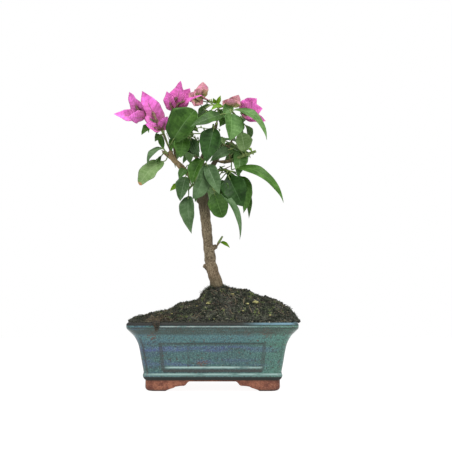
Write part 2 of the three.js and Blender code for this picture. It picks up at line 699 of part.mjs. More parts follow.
		leaves: [
			leaf( [ 14.5, - 16, 189.5 ], [ 12.5, - 8, - 26.5 ], 25, [ - 0.2, - 1, 0.25 ], 36, 0.45 ),
			leaf( [ 24.5, - 12, 191 ], [ 3, - 5, - 34 ], 16, [ 0.5, - 0.85, 0.2 ], 60, 0 ),
			leaf( [ 6, - 15, 187 ], [ 7, - 8, - 20 ], 12, [ 0, - 1, 0.2 ], 26, 0 ),
			leaf( [ 5.5, - 20, 176 ], [ 18.5, - 8, - 43 ], 8.2, [ 0.55, - 0.72, 0.3 ], 96, 0, 0.15 ),
			leaf( [ 1.5, - 17, 175 ], [ 7.5, - 6, - 22 ], 19.5, [ - 0.1, - 1, 0.15 ], 26, 0.95 ),
			leaf( [ 30, - 8, 180.5 ], [ 2.5, - 2, - 28 ], 7, [ 0.4, - 0.9, 0 ], 36, 0 ),
		],
		blooms: [],
		shoots: 2, shootLength: 8, leafLength: 18,
		middle: [ 16, - 2, 184 ], radii: [ 15, 18, 16 ], seed: 1907,
	},
	{
		name: 'foliage_left_bottom', limb: 'trunk', at: 0.86,
		stem: [ [ - 18, - 6.5, 183 ], [ - 22, - 10, 179 ] ],
		leaves: [
			leaf( [ - 22, - 12, 173 ], [ 3, - 7, - 34.5 ], 16, [ - 0.35, - 0.95, 0.1 ], 50, 0 ),
			leaf( [ - 24.5, - 12, 190.5 ], [ - 5, - 5, - 22.5 ], 14, [ - 0.2, - 1, 0.15 ], 30, 0.3 ),
			leaf( [ - 9, - 12, 206.5 ], [ - 9.5, - 8, - 24 ], 16, [ - 0.5, - 0.85, 0.1 ], 60, 0.2 ),
			leaf( [ - 31.5, - 4, 184 ], [ - 7.5, - 2, - 6.5 ], 5.5, [ - 0.2, - 1, 0.2 ], 30, 0 ),
			leaf( [ - 25, - 7, 198 ], [ - 6, - 4, - 9.5 ], 9, [ - 0.2, - 1, 0.1 ], 24, 0 ),
		],
		blooms: [],
		shoots: 2, shootLength: 8, leafLength: 17,
		middle: [ - 24, 2, 183 ], radii: [ 14, 16, 15 ], seed: 2003,
	},
	{
		name: 'foliage_back_left', limb: 'bough_back', at: 1,
		stem: [ [ - 18, 28, 220 ], [ - 22, 31, 227 ] ],
		leaves: [ leaf( [ - 22, 31, 227 ], [ - 8, 10, - 14 ], 15, null, 40 ) ],
		blooms: [
			bloom( [ - 31, 32, 240 ], [ - 2, 8, 14 ], [
				[ [ - 7, 3, 14 ], 13, [ 0.3, 0.9, 0.3 ], - 20 ],
				[ [ 7, 5, 13 ], 13, [ - 0.3, 0.9, 0.3 ], - 20 ],
				[ [ - 1, 16, 6 ], 14, [ 0, - 0.4, 0.9 ], - 20 ],
			] ),
		],
		shoots: 7, shootLength: 14, leafLength: 21,
		middle: [ - 22, 28, 216 ], radii: [ 21, 21, 24 ], seed: 2111,
	},
	{
		name: 'foliage_back_right', limb: 'bough_right', at: 0.62,
		stem: [ [ 7, 11, 214 ], [ 11, 19, 218 ], [ 14, 26, 222 ] ],
		leaves: [ leaf( [ 14, 26, 222 ], [ 8, 12, - 12 ], 15, null, 40 ) ],
		blooms: [
			bloom( [ - 1, 30, 221 ], [ 0, 8, 9 ], [
				[ [ - 4, 5, 8 ], 9, [ 0.3, 0.9, 0.3 ], - 20 ],
				[ [ 4, 5, 8 ], 9, [ - 0.3, 0.9, 0.3 ], - 20 ],
				[ [ 0, 12, 3 ], 10, [ 0, - 0.4, 0.9 ], - 20 ],
			] ),
		],
		shoots: 7, shootLength: 14, leafLength: 21,
		middle: [ 14, 28, 214 ], radii: [ 20, 21, 23 ], seed: 2203,
	},
	{
		name: 'foliage_back_low', limb: 'trunk', at: 0.88,
		stem: [ [ - 9.5, 11, 189 ], [ - 8, 18, 190 ] ],
		leaves: [ leaf( [ - 8, 20, 189 ], [ - 2, 16, - 14 ], 15, null, 40 ) ],
		blooms: [], shoots: 6, shootLength: 12, leafLength: 20,
		middle: [ - 5, 24, 182 ], radii: [ 22, 19, 18 ], seed: 2309,
	},
	{
		name: 'trunk_sprout', limb: 'trunk', start: [ 3.6, - 2.3, 127.9 ],
		stem: [ [ 5.2, - 3, 131 ], [ 8.7, - 3.5, 136.8 ] ],
		leaves: [ leaf( [ 6.6, - 3.2, 131.4 ], [ 8.8, - 2, - 5.2 ], 5, [ 0.2, - 0.7, 0.7 ], 36 ) ],
		blooms: [], shoots: 0, shootLength: 0, leafLength: 0,
		middle: [ 6, - 3, 132 ], radii: [ 10, 10, 10 ], seed: 2401,
	},
];

function limbNamed( name ) {

	return name === 'trunk' ? TRUNK : BOUGHS[ name ];

}

// Where a mass's stem starts: just clear of its limb's end, or of its side towards the stem.
function stemStart( mass ) {

	if ( mass.start ) return toVec( mass.start );
	const limb = limbNamed( mass.limb );
	const centre = limb.curve.getPoint( mass.at );
	const direction = limb.curve.getTangent( mass.at );
	if ( mass.at === 1 ) return centre.addScaledVector( direction, CLEARANCE );
	const away = toVec( mass.stem[ 0 ] ).sub( centre );
	away.addScaledVector( direction, - away.dot( direction ) ).normalize();
	return centre.addScaledVector( away, limbRadius( limb, mass.at ) + CLEARANCE + 0.2 );

}

function nearestOn( limb, point ) {

	let best = limb.curve.getPoint( 0.06 );
	for ( let k = 1; k <= 24; k ++ ) {

		const place = limb.curve.getPoint( 0.06 + 0.94 * k / 24 );
		if ( place.distanceTo( point ) < best.distanceTo( point ) ) best = place;

	}

	return best;

}

const ROOT_SUNK = 0.14; // how far along its blade a leaf's stalk runs
const KEEP_CLEAR = 3.4; // between the sample points of blades in two masses
const KEEP_OFF_LIMB = 1.6; // between a blade and the bark of a limb

function clearOfLimbs( points ) {

	return Object.values( { trunk: TRUNK, ...BOUGHS } ).every( ( limb ) => {

		for ( let k = 0; k <= 16; k ++ ) {

			const centre = limb.curve.getPoint( k / 16 );
			const radius = limbRadius( limb, k / 16 ) + KEEP_OFF_LIMB;
			if ( points.some( ( p ) => p.distanceTo( centre ) < radius ) ) return false;

		}

		return true;

	} );

}

function inSpace( mass, point ) {

	const [ x, y, z ] = mass.middle;
	const [ rx, ry, rz ] = mass.radii;
	return ( ( point.x - x ) / rx ) ** 2 + ( ( point.y - y ) / ry ) ** 2 + ( ( point.z - z ) / rz ) ** 2 < 1;

}

// Every mass's stem with its leading leaves and blooms comes first, so that the shoots can keep
// clear of them.
const growth = MASSES.map( ( mass ) => {

	const start = stemStart( mass ).toArray();
	const stem = makeLimb( [ start, ...mass.stem ], mass.stemRadii || [ 0.7, 1.2, 0.8 ] );
	const bracts = mass.blooms.flatMap( ( flower ) => flower.blades );
	const twigs = [];
	const ends = mass.leaves.map( ( blade ) => bladeSpine( bladeFrame( blade ), ROOT_SUNK ).point );
	for ( const end of [ ...ends, ...mass.blooms.map( ( flower ) => toVec( flower.foot ) ) ] ) {

		const from = nearestOn( stem, end );
		if ( from.distanceTo( end ) > 0.8 ) twigs.push( makeLimb( [ from.toArray(), end.toArray() ], [ 0.8, 0.6 ] ) );

	}

	const blades = [ ...mass.leaves, ...bracts ];
	return { mass, stem, twigs, blades, points: blades.flatMap( bladePoints ) };

} );

function clearOfOthers( own, points ) {

	return growth.every( ( other ) => {

		if ( other === own ) return true;
		const stemPoints = other.stem.curve.getPoints( 12 );
		const taken = [ ...other.points, ...stemPoints ];
		return taken.every( ( q ) => points.every( ( p ) => p.distanceTo( q ) > KEEP_CLEAR ) );

	} );

}

// One shoot: a twig that leaves the stem by the golden turn, with leaves set on alternate sides.
function growShoot( own, index, random ) {

	const { mass, stem } = own;
	const t = 0.3 + 0.7 * ( index + 0.5 ) / mass.shoots;
	const start = stem.curve.getPoint( t );
	const forward = stem.curve.getTangent( t );
	const around = vec( 0, 0, 1 ).addScaledVector( forward, - forward.z ).normalize();
	around.applyAxisAngle( forward, index * GOLDEN_TURN + random() );
	const middlePull = toVec( mass.middle ).sub( start ).normalize();
	const heading = around.addScaledVector( forward, 0.4 ).addScaledVector( middlePull, 0.9 ).normalize();
	const length = mass.shootLength * ( 0.75 + 0.5 * random() );
	const end = start.clone().addScaledVector( heading, length );
	const bend = start.clone().addScaledVector( heading, length * 0.5 ).add( vec( 0, 0, length * 0.1 ) );
	const twig = makeLimb( [ start.toArray(), bend.toArray(), end.toArray() ], [ 0.8, 0.6 ] );
	if ( ! clearOfOthers( own, [ bend, end ] ) || ! clearOfLimbs( [ end ] ) ) return;
	const leaves = [];
	for ( let k = 0; k < 3; k ++ ) {

		const foot = twig.curve.getPoint( 0.4 + 0.55 * k / 2 );
		const sideways = vec( - heading.y, heading.x, 0 ).normalize().multiplyScalar( k % 2 ? 1 : - 1 );
		const out = heading.clone().multiplyScalar( k === 2 ? 1.2 : 0.45 );
		out.addScaledVector( sideways, k === 2 ? 0.15 : 0.9 );
		out.z -= 0.25 + 0.8 * random();
		const size = mass.leafLength * ( 0.75 + 0.5 * random() );
		const reach = out.normalize().multiplyScalar( size );
		const width = size * ( 0.5 + 0.14 * random() );
		const blade = leaf( foot.toArray(), reach.toArray(), width, null, 20 + 40 * random() );
		blade.plain = true;
		const points = bladePoints( blade );
		const tip = points[ points.length - 1 ];
		const hasRoom = inSpace( mass, tip ) && clearOfLimbs( points ) && clearOfOthers( own, points );
		if ( hasRoom ) leaves.push( [ blade, points ] );

	}

	if ( leaves.length === 0 ) return;
	own.twigs.push( twig );
	for ( const [ blade, points ] of leaves ) {

		own.blades.push( blade );
		own.points.push( ...points );

	}

}

for ( const own of growth ) {

	const random = seeded( own.mass.seed );
	for ( let index = 0; index < own.mass.shoots; index ++ ) growShoot( own, index, random );

}

// The slim tube of a small true flower, in the middle of a bloom.
function tubeSolid( flower ) {

	const foot = toVec( flower.foot ).addScaledVector( flower.axis, - 1.2 );
	const tip = foot.clone().addScaledVector( flower.axis, flower.blades[ 0 ].length * 0.4 );
	return toSolid( limbGeometry( makeLimb( [ foot.toArray(), tip.toArray() ], [ 1, 1.1 ] ), 1, 4 ) );

}

function makeMass( own ) {

	const pieces = [ toSolid( limbGeometry( own.stem, own.mass.stem.length + 1, 4 ) ) ];
	for ( const twig of own.twigs ) {

		pieces.push( toSolid( limbGeometry( twig, twig.curve.points.length - 1, 3 ) ) );

	}

	for ( const blade of own.blades ) pieces.push( bladeSolid( blade ) );
	for ( const flower of own.mass.blooms ) pieces.push( tubeSolid( flower ) );
	return toGeometry( oneBody( wasm.Manifold.union( pieces ) ) );

}

// The object

const object = new THREE.Group();

function addPiece( name, geometry, finish ) {

	const mesh = new THREE.Mesh( geometry, new THREE.MeshStandardMaterial( finish ) );
	mesh.name = name;
	object.add( mesh );

}

addPiece( 'pot', makePot(), GLAZE );
addPiece( 'soil', makeSoil( { x: 4.8, y: 0, radius: 7.4 } ), SOIL );
addPiece( 'trunk', makeTrunk(), BARK );
for ( const [ name, limb ] of Object.entries( BOUGHS ) ) addPiece( name, limbGeometry( limb, 6, 7 ), BARK );
for ( const own of growth ) {

	addPiece( own.mass.name, makeMass( own ), own.mass.blooms.length > 1 ? BLOOM : LEAF );

}

const box = new THREE.Box3().setFromObject( object );
const centre = box.getCenter( vec( 0, 0, 0 ) );
object.position.set( - centre.x, - centre.y, - box.min.z );

export default object;
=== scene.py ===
from functools import cached_property
from math import atan2, cos, degrees, exp, hypot, pi, radians, sin, sqrt

import bmesh
import bpy
import numpy as np
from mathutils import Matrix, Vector, noise
from mathutils.kdtree import KDTree


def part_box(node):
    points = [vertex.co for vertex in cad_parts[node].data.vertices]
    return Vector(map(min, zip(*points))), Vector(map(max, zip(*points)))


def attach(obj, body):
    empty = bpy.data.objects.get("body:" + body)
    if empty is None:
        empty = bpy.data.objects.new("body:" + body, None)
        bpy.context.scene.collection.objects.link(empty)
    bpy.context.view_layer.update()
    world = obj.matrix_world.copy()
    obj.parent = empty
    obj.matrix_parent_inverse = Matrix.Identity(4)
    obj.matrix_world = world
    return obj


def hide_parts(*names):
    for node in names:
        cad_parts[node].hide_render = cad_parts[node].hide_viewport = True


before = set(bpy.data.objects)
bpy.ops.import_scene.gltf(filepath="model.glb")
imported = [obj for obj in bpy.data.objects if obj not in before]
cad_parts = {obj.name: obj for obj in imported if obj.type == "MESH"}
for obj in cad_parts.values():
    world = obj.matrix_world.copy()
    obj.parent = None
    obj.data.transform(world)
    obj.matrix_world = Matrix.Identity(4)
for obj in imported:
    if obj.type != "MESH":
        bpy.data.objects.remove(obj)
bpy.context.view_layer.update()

# Camera, light and floor
# The photo was taken from about 1.25 m in front of the plant, level with the lower trunk, with a long
# lens that looks up by one and a half degrees. Lengths are millimetres from the middle of the pot on
# the table.
MM = 0.001
pot_low, pot_high = (Vector(corner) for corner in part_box("pot"))
POT_MIDDLE = Vector(((pot_low.x + pot_high.x) / 2, (pot_low.y + pot_high.y) / 2, 0))


def place(x, y, z):
    return POT_MIDDLE + Vector((x, y, z)) * MM


bpy.ops.object.camera_add(location=place(11.8, -1259, 113.4), rotation=(radians(91.49), 0, 0))
camera = bpy.context.object
camera.name = "photo_camera"
camera.data.sensor_width = 36
camera.data.lens = 110.2
camera.data.clip_start = 0.05
bpy.context.scene.camera = camera
bpy.context.scene.view_settings.view_transform = "Standard"

SOFTBOXES = {
    "overhead_softbox": ((250, -500, 1500), 1.1, 21),
    "front_left_softbox": ((-1300, -900, 700), 0.9, 7),
    "front_right_softbox": ((1100, -1300, 500), 0.9, 5),
}
for name, (where, size, power) in SOFTBOXES.items():
    bpy.ops.object.light_add(type="AREA", location=place(*where))
    light = bpy.context.object
    light.name = name
    light.data.shape = "DISK"
    light.data.size = size
    light.data.energy = power
    light.rotation_euler = (place(0, 0, 130) - light.location).to_track_quat("-Z", "Y").to_euler()

# A white room that gives half of the light that it shows
room = bpy.data.worlds.new("white_room")
room.use_nodes = True
bpy.context.scene.world = room
nodes, links = room.node_tree.nodes, room.node_tree.links
either = nodes.new("ShaderNodeMixShader")
links.new(nodes.new("ShaderNodeLightPath").outputs["Is Camera Ray"], either.inputs[0])
for slot, strength, glow in ((1, 0.5, nodes["Background"]), (2, 1.0, nodes.new("ShaderNodeBackground"))):
    glow.inputs["Color"].default_value = (1, 1, 1, 1)
    glow.inputs["Strength"].default_value = strength
    links.new(glow.outputs[0], either.inputs[slot])
links.new(either.outputs[0], nodes["World Output"].inputs["Surface"])

bpy.ops.mesh.primitive_plane_add(size=1.6)
table_top = bpy.context.object
table_top.name = "pale_floor"


def srgb(red, green, blue):
    """A colour as a picture shows it, from 0 to 255, as the linear colour that a shader takes."""
    shares = (channel / 255 for channel in (red, green, blue))
    linear = [s / 12.92 if s <= 0.04045 else ((s + 0.055) / 1.055) ** 2.4 for s in shares]
    return (*linear, 1)


def math_node(operation):
    """An operator that adds one Math node to the material of its first value."""
    return lambda *values: values[0].finish.node("ShaderNodeMath", {"operation": operation}, values)


class Value:
    """One number or colour in a material. Python's operators on it add the Math nodes."""

    def __init__(self, finish, socket):
        self.finish = finish
        self.socket = socket

    __add__ = __radd__ = math_node("ADD")
    __sub__ = math_node("SUBTRACT")
    __mul__ = __rmul__ = math_node("MULTIPLY")
    __abs__ = math_node("ABSOLUTE")
    larger = math_node("MAXIMUM")
    smaller = math_node("MINIMUM")

    def __rsub__(self, other):
        return self.finish.node("ShaderNodeMath", {"operation": "SUBTRACT"}, [other, self])

    def rise(self, low, high):
        """0 below low and 1 above high, with a smooth step between; falls where low is the higher."""
        return self.finish.node("ShaderNodeMapRange", {"interpolation_type": "SMOOTHSTEP"}, {
            "Value": self, "From Min": low, "From Max": high})

    def line(self, centre, half_width, soft):
        """1 within half_width of centre, falling to 0 over soft."""
        return abs(self - centre).rise(half_width + soft, half_width)


class Finish:
    """A material with one shader: a base colour under coats of others, and uniform numbers by name."""

    def __init__(self, name, base, **uniform):
        self.material = bpy.data.materials.new(name)
        self.material.use_nodes = True
        self.tree = self.material.node_tree
        self.shader = self.tree.nodes["Principled BSDF"]
        self.base = srgb(*base)
        for socket, number in {"Base_Color": self.base, **uniform}.items():
            self.shader.inputs[socket.replace("_", " ")].default_value = number

    def node(self, kind, settings=None, sockets=(), output=0):
        made = self.tree.nodes.new(kind)
        for name, setting in (settings or {}).items():
            setattr(made, name, setting)
        for key, given in sockets.items() if isinstance(sockets, dict) else enumerate(sockets):
            if isinstance(given, Value):
                self.tree.links.new(given.socket, made.inputs[key])
            else:
                made.inputs[key].default_value = given
        return Value(self, made.outputs[output])

    def feed(self, socket, value):
        self.tree.links.new(value.socket, self.shader.inputs[socket])

    def coat(self, colour, share):
        """Lays a colour over those below it, where share goes from 0 to 1."""
        mixed = {0: share, 6: self.base, 7: srgb(*colour)}
        self.base = self.node("ShaderNodeMix", {"data_type": "RGBA"}, mixed, output=2)
        self.feed("Base Color", self.base)

    @cached_property
    def where(self):
        """Millimetres from the middle of the pot on the table."""
        return self.node("ShaderNodeMapping", sockets={
            "Vector": self.node("ShaderNodeTexCoord", output="Object"),
            "Location": -POT_MIDDLE / MM, "Scale": (1 / MM, 1 / MM, 1 / MM)})

    def axes(self):
        split = self.node("ShaderNodeSeparateXYZ", sockets=[self.where])
        return [Value(self, output) for output in split.socket.node.outputs]

    def grain(self, size, detail=2, stretch=(1, 1, 1), roughness=0.5, where=None):
        """Noise whose lumps are about size millimetres across, stretched by the given factors."""
        scale = [1 / (size * factor) for factor in stretch]
        vector = self.node("ShaderNodeMapping", sockets={"Vector": where or self.where, "Scale": scale})
        return self.node("ShaderNodeTexNoise", sockets={
            "Vector": vector, "Scale": 1.0, "Detail": detail, "Roughness": roughness})

    def relief(self, height, depth):
        """Turns a height from 0 to 1 into fine relief, depth metres tall."""
        self.feed("Normal", self.node("ShaderNodeBump", sockets={"Height": height, "Distance": depth}))


floor_finish = Finish(
    "pale_floor", (100, 100, 100), Roughness=0.9, Emission_Color=(1, 1, 1, 1), Emission_Strength=0.93)
table_top.data.materials.append(floor_finish.material)

# Glazed body of the pot
# A slip-cast stoneware pot with a hollow flare, a rolled lip, a base roll and a sunk panel on each side. A
# blue-green glaze runs thin on the edges, where it breaks dark brown; along some edges that dark is also
# painted shade, and some pale lines are painted highlights.
POT_HALF_WIDTH = 75.2
POT_HALF_DEPTH = 59.0
POT_HEIGHT = 60.7
CORNER_RADIUS = 6.0
PANEL_LOW, PANEL_HIGH = 17.8, 43.3
OUTSIDE = [
    (9.9, 59.5), (10.8, 60.3), (12.2, 61.1), (13.4, 61.5), (14.6, 61.4), (16.2, 60.8), (PANEL_LOW, 60.9),
    (25, 62.2), (33, 63.5), (39.6, 64.8), (PANEL_HIGH, 66.0), (48.6, 68.7), (52.2, 72), (54.4, 74.1),
]
LIP = [
    (55.2, 74.8), (56.2, 75.15), (57.6, 75.2), (59.0, 75.1), (60.0, 74.6), (60.5, 73.8), (60.7, 72.8),
    (60.6, 71.6), (60.0, 70.4), (59.0, 69.6),
]
INSIDE = [(54, 67.2), (48, 62.6), (42, 60), (30, 57.6), (20, 56), (14.2, 54)]


def smooth_profile(points):
    """The same profile with one more point between each two, on a curve through them all."""
    padded = np.array([points[0], *points, points[-1]])
    between = (9 * (padded[1:-2] + padded[2:-1]) - padded[:-3] - padded[3:]) / 16
    return [points[0]] + [tuple(pair) for both in zip(between.tolist(), points[1:]) for pair in both]


def half_depth(half_width):
    return half_width - (POT_HALF_WIDTH - POT_HALF_DEPTH)


def close_and_turn_out():
    """Fills any open edge left, merges doubles and points every face outward."""
    bpy.ops.mesh.select_all(action="SELECT")
    bpy.ops.mesh.remove_doubles(threshold=1e-6)
    bpy.ops.mesh.select_all(action="DESELECT")
    bpy.ops.mesh.select_non_manifold(
        use_wire=False, use_multi_face=False, use_non_contiguous=False, use_verts=False)
    bpy.ops.mesh.edge_face_add()
    bpy.ops.mesh.select_all(action="SELECT")
    bpy.ops.mesh.normals_make_consistent(inside=False)


def rounded_box(name, profile, corner_steps=8):
    """A closed stack of rounded rectangles, one for each level and half width, left in edit mode."""
    level, half_width = profile[0]
    bpy.ops.mesh.primitive_plane_add(size=2)
    piece = bpy.context.object
    piece.name = name
    bpy.ops.object.mode_set(mode="EDIT")
    centre = place(0, 0, level)
    bpy.ops.transform.translate(value=centre)
    size = (half_width * MM, half_depth(half_width) * MM, 1)
    bpy.ops.transform.resize(value=size, center_override=centre)
    bpy.ops.mesh.bevel(offset=CORNER_RADIUS * MM, segments=corner_steps, affect="VERTICES")
    bpy.ops.mesh.select_all(action="SELECT")
    for next_level, next_half in profile[1:]:
        step = (0, 0, (next_level - level) * MM)
        bpy.ops.mesh.extrude_region_move(TRANSFORM_OT_translate={"value": step})
        size = (next_half / half_width, half_depth(next_half) / half_depth(half_width), 1)
        bpy.ops.transform.resize(value=size, center_override=place(0, 0, next_level))
        level, half_width = next_level, next_half
    close_and_turn_out()
    return piece


def cut_edges(point, normal):
    """Cuts a loop of edges right through the mesh."""
    bpy.ops.mesh.select_all(action="SELECT")
    bpy.ops.mesh.bisect(plane_co=POT_MIDDLE + point * MM, plane_no=normal)


glazed = rounded_box("pot_glazed_body", smooth_profile(OUTSIDE) + smooth_profile(LIP) + INSIDE)
PANEL_HALF_WIDTH = 43.4
PANEL_HALF_DEPTH = 27.4
PANEL_FLARE = 0.105
ALONG_X, ALONG_Y, UP = Vector((1, 0, 0)), Vector((0, 1, 0)), Vector((0, 0, 1))
for axis, half in ((ALONG_X, PANEL_HALF_WIDTH), (ALONG_Y, PANEL_HALF_DEPTH)):
    for offset in (-half / 2, 0, half / 2):
        cut_edges(axis * offset, axis)
    for side in (-1, 1):
        cut_edges(axis * side * half + UP * PANEL_LOW, axis * side - UP * PANEL_FLARE)

# The panels are sunk by an inset whose frame slopes in, then eased by a narrow bevel.
for across, along, half in ((ALONG_Y, ALONG_X, PANEL_HALF_WIDTH), (ALONG_X, ALONG_Y, PANEL_HALF_DEPTH)):
    for side in (-1, 1):
        mesh = bmesh.from_edit_mesh(glazed.data)
        for face in mesh.faces:
            centre = (face.calc_center_median() - POT_MIDDLE) / MM
            outward = face.normal.dot(across) * side > 0.8 and centre.dot(across) * side > 0
            edge = half + (centre.z - PANEL_LOW) * PANEL_FLARE
            within = abs(centre.dot(along)) < edge and PANEL_LOW < centre.z < PANEL_HIGH
            face.select_set(outward and within)
        mesh.select_flush_mode()
        bmesh.update_edit_mesh(glazed.data)
        bpy.ops.mesh.inset(thickness=1.3 * MM, depth=-1.25 * MM)
bpy.ops.object.mode_set(mode="OBJECT")


def work_on(piece):
    """Selects one piece and nothing else."""
    bpy.ops.object.select_all(action="DESELECT")
    bpy.context.view_layer.objects.active = piece
    piece.select_set(True)


def modify(piece, kind, **settings):
    """Adds one modifier to a piece and applies it."""
    work_on(piece)
    modifier = piece.modifiers.new(kind, kind)
    for name, setting in settings.items():
        setattr(modifier, name, setting)
    bpy.ops.object.modifier_apply(modifier=kind)


def ease_edges(piece, width, sharp, smooth):
    """Rounds the edges that are sharper than one angle, and shades smooth those below the other."""
    sharp = radians(sharp)
    modify(piece, "BEVEL", width=width * MM, segments=3, limit_method="ANGLE", angle_limit=sharp)
    bpy.ops.object.shade_smooth_by_angle(angle=radians(smooth))


ease_edges(glazed, width=0.35, sharp=28, smooth=50)

# Where the front meets the rounded corner the glaze runs thin: the share of that line is kept on
# the mesh, read from which way each point faces.
corner_line = glazed.data.attributes.new("corner_line", "FLOAT", "POINT")
for vertex, share in zip(glazed.data.vertices, corner_line.data):
    facing = degrees(atan2(abs(vertex.normal.x), abs(vertex.normal.y)))
    share.value = sum(exp(-(((facing - edge) / 9) ** 2)) for edge in (24, 66))

glaze = Finish("blue_green_glaze", (44, 84, 82), IOR=1.5, Coat_Roughness=0.05)
across_x, across_y, level = glaze.axes()
drift = glaze.grain(9, 3, (2.2, 2.2, 0.5))
fine = glaze.grain(0.9)
streak = glaze.grain(4, 3, (2.5, 2.5, 0.4))
glaze.coat((56, 98, 96), glaze.grain(26, 2, (1.6, 1.6, 0.6)).rise(0.35, 0.65))
glaze.coat((70, 118, 124), level.line(46.6, 2.4, 1.6) * 0.7)
violet = level.line(37.4, 1.8, 1.8).larger(level.line(25.4, 1.8, 2.4) * 0.8)
violet = violet.larger(across_x.rise(-30, -66) * 0.45)
glaze.coat((66, 82, 124), (violet * 0.8 + 0.1) * drift.rise(0.36, 0.62))
violet_line = level.line(37.4, 1.4, 1.6) * across_x.rise(26, -6)
glaze.coat((70, 84, 140), violet_line * streak.rise(0.3, 0.5) * 0.5)
glaze.coat((78, 132, 106), across_x.rise(20, 70) * 0.65)
glaze.coat((100, 142, 134), fine.rise(0.5, 0.6) * 0.5)
glaze.coat((26, 42, 44), glaze.grain(0.8, 1).rise(0.48, 0.4) * 0.75)


def blot(x, z, radius):
    """How near a place on the long sides is to one patch where the iron has come through the glaze."""
    return (abs(across_x - x) + abs(level - z) * 1.5).rise(radius, radius * 0.4)


blots = blot(-52, 49, 9).larger(blot(47, 52.5, 10)).larger(blot(-9, 25.5, 9))
blots = blots.larger(blot(30, 51.5, 7) * 0.7)
rust = glaze.grain(6, 3, roughness=0.7).rise(0.62, 0.7) * glaze.grain(1.6, 1).rise(0.45, 0.6)
rust = rust.larger(blots * glaze.grain(1.3, 3, (1.8, 1.8, 0.8)).rise(0.44, 0.56))
glaze.coat((88, 54, 40), rust * 0.88)
glaze.coat((46, 40, 34), glaze.grain(1.7, 0).rise(0.71, 0.76) * 0.8)
# A darker band under the rolled lip: painted shade under its overhang, streaked like the glaze
glaze.coat((32, 52, 43), level.line(53.4, 1.4, 2.8) * (0.35 + streak.rise(0.3, 0.6) * 0.5))
glaze.coat((96, 82, 66), level.line(53, 1, 2.5) * fine.rise(0.58, 0.66) * 0.4)
# Painted highlight: a pale band where the top of the base roll catches the light
glaze.coat((108, 138, 132), level.line(14.8, 0.9, 0.6) * 0.75)

# The glaze breaks dark where it runs off an edge; along the panels' top and foot and on the base roll's
# underside that dark is also painted shade. It pools pale just below, and the pale lines near the panels'
# foot and along the top of the base roll are also a painted highlight where they catch the light.
outer_y = abs(across_y)
on_front = outer_y.rise(40, 42)
panel_across = on_front * abs(across_x) + (1 - on_front) * (outer_y + (PANEL_HALF_WIDTH - PANEL_HALF_DEPTH))
panel_across = panel_across - (level - PANEL_LOW) * PANEL_FLARE
in_height = level.rise(PANEL_LOW - 0.4, PANEL_LOW + 0.6) * level.rise(PANEL_HIGH + 0.2, PANEL_HIGH - 0.6)
in_width = panel_across.rise(PANEL_HALF_WIDTH + 0.4, PANEL_HALF_WIDTH - 0.6)
patchy = glaze.grain(7, 3, (2, 2, 1)).rise(0.3, 0.56)
# Pale lines near the panels' foot and along the top of the base roll: pooled glaze with a painted highlight
pooled_glaze_and_highlight = (level.line(PANEL_LOW + 3.3, 0.4, 0.6) * in_width).larger(level.line(15.2, 0.3, 0.4)) * patchy
glaze.coat((158, 186, 180), pooled_glaze_and_highlight * 0.9)
panel_top = level.line(PANEL_HIGH - 1.2, 0.4, 0.7) * in_width * 0.72
panel_foot = level.line(PANEL_LOW + 0.3, 1.0, 0.8) * in_width
panel_sides = panel_across.line(PANEL_HALF_WIDTH - 0.3, 1.0, 1.2) * in_height * 0.7
panel_sides = panel_sides * (1 - across_x.rise(20, 56) * 0.4)
lip_crown = level.rise(57.9, 58.6) * 0.85
lip_line = level.line(56.2, 0.25, 0.5) * 0.8
base_edge = level.rise(13.2, 12.2)
corner = glaze.node("ShaderNodeAttribute", {"attribute_name": "corner_line"}, output="Fac").smaller(1.0)
corner = corner * level.rise(12, 16) * level.rise(53, 42) * (1 - across_x.rise(0, 60) * 0.7)
glaze_breaks_and_shade = panel_top
for edge in (panel_foot, panel_sides, corner, lip_crown, lip_line, base_edge):
    glaze_breaks_and_shade = glaze_breaks_and_shade.larger(edge)
glaze_breaks_and_shade = glaze_breaks_and_shade * (0.7 + glaze.grain(3, 3).rise(0.25, 0.5) * 0.3)
# Dark brown where the glaze breaks on the edges; along the panels' top and foot and on the base roll's
# underside it is also painted shade
glaze.coat((40, 42, 39), glaze_breaks_and_shade * 0.92)
# Darker still on the base roll's underside: the glaze's dark edge and painted shade
glaze.coat((30, 34, 31), base_edge * 0.85)
glaze.coat((24, 19, 15), lip_crown * across_x.rise(44, 16))
lip_glint = level.line(57.4, 0.2, 0.3) * patchy * across_x.rise(-52, -44)
glaze.coat((176, 186, 182), lip_glint * (1 - across_x.rise(20, 44) * 0.75) * 0.75)
# Painted highlight: the top of the lip lighter and bluer towards the right
glaze.coat((96, 130, 146), level.rise(58.6, 59.4) * across_x.rise(24, 52) * patchy)
bare = lip_crown.larger(base_edge)
glaze.feed("Roughness", 0.18 + fine * 0.16 + bare * 0.6)
glaze.feed("Coat Weight", (1 - bare) * 0.12)
glaze.relief(fine * 0.5 + drift * 0.5, 0.12 * MM)
glazed.data.materials.append(glaze.material)
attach(glazed, "root")
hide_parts("pot")

# Unglazed feet
# Below the glaze the pot is bare red-brown clay: four scrolled bracket feet on one base, with arches
# between them, a hollow underneath and two drain holes through the floor.
FOOT_HEIGHT = 8.7
HOLLOW_HALF_WIDTH = 49.4
BASE = [(0, 56), (0.4, 57.2), (1.1, 58.2), (2.2, 59.0), (3.4, 59.3), (10.0, 59.2)]
clay = rounded_box("pot_clay_feet", BASE)
bpy.ops.object.mode_set(mode="OBJECT")


def cut_away(piece, cutter):
    """Takes the cutter's shape out of a piece and throws the cutter away."""
    modify(piece, "BOOLEAN", object=cutter, solver="EXACT")
    bpy.data.objects.remove(cutter)


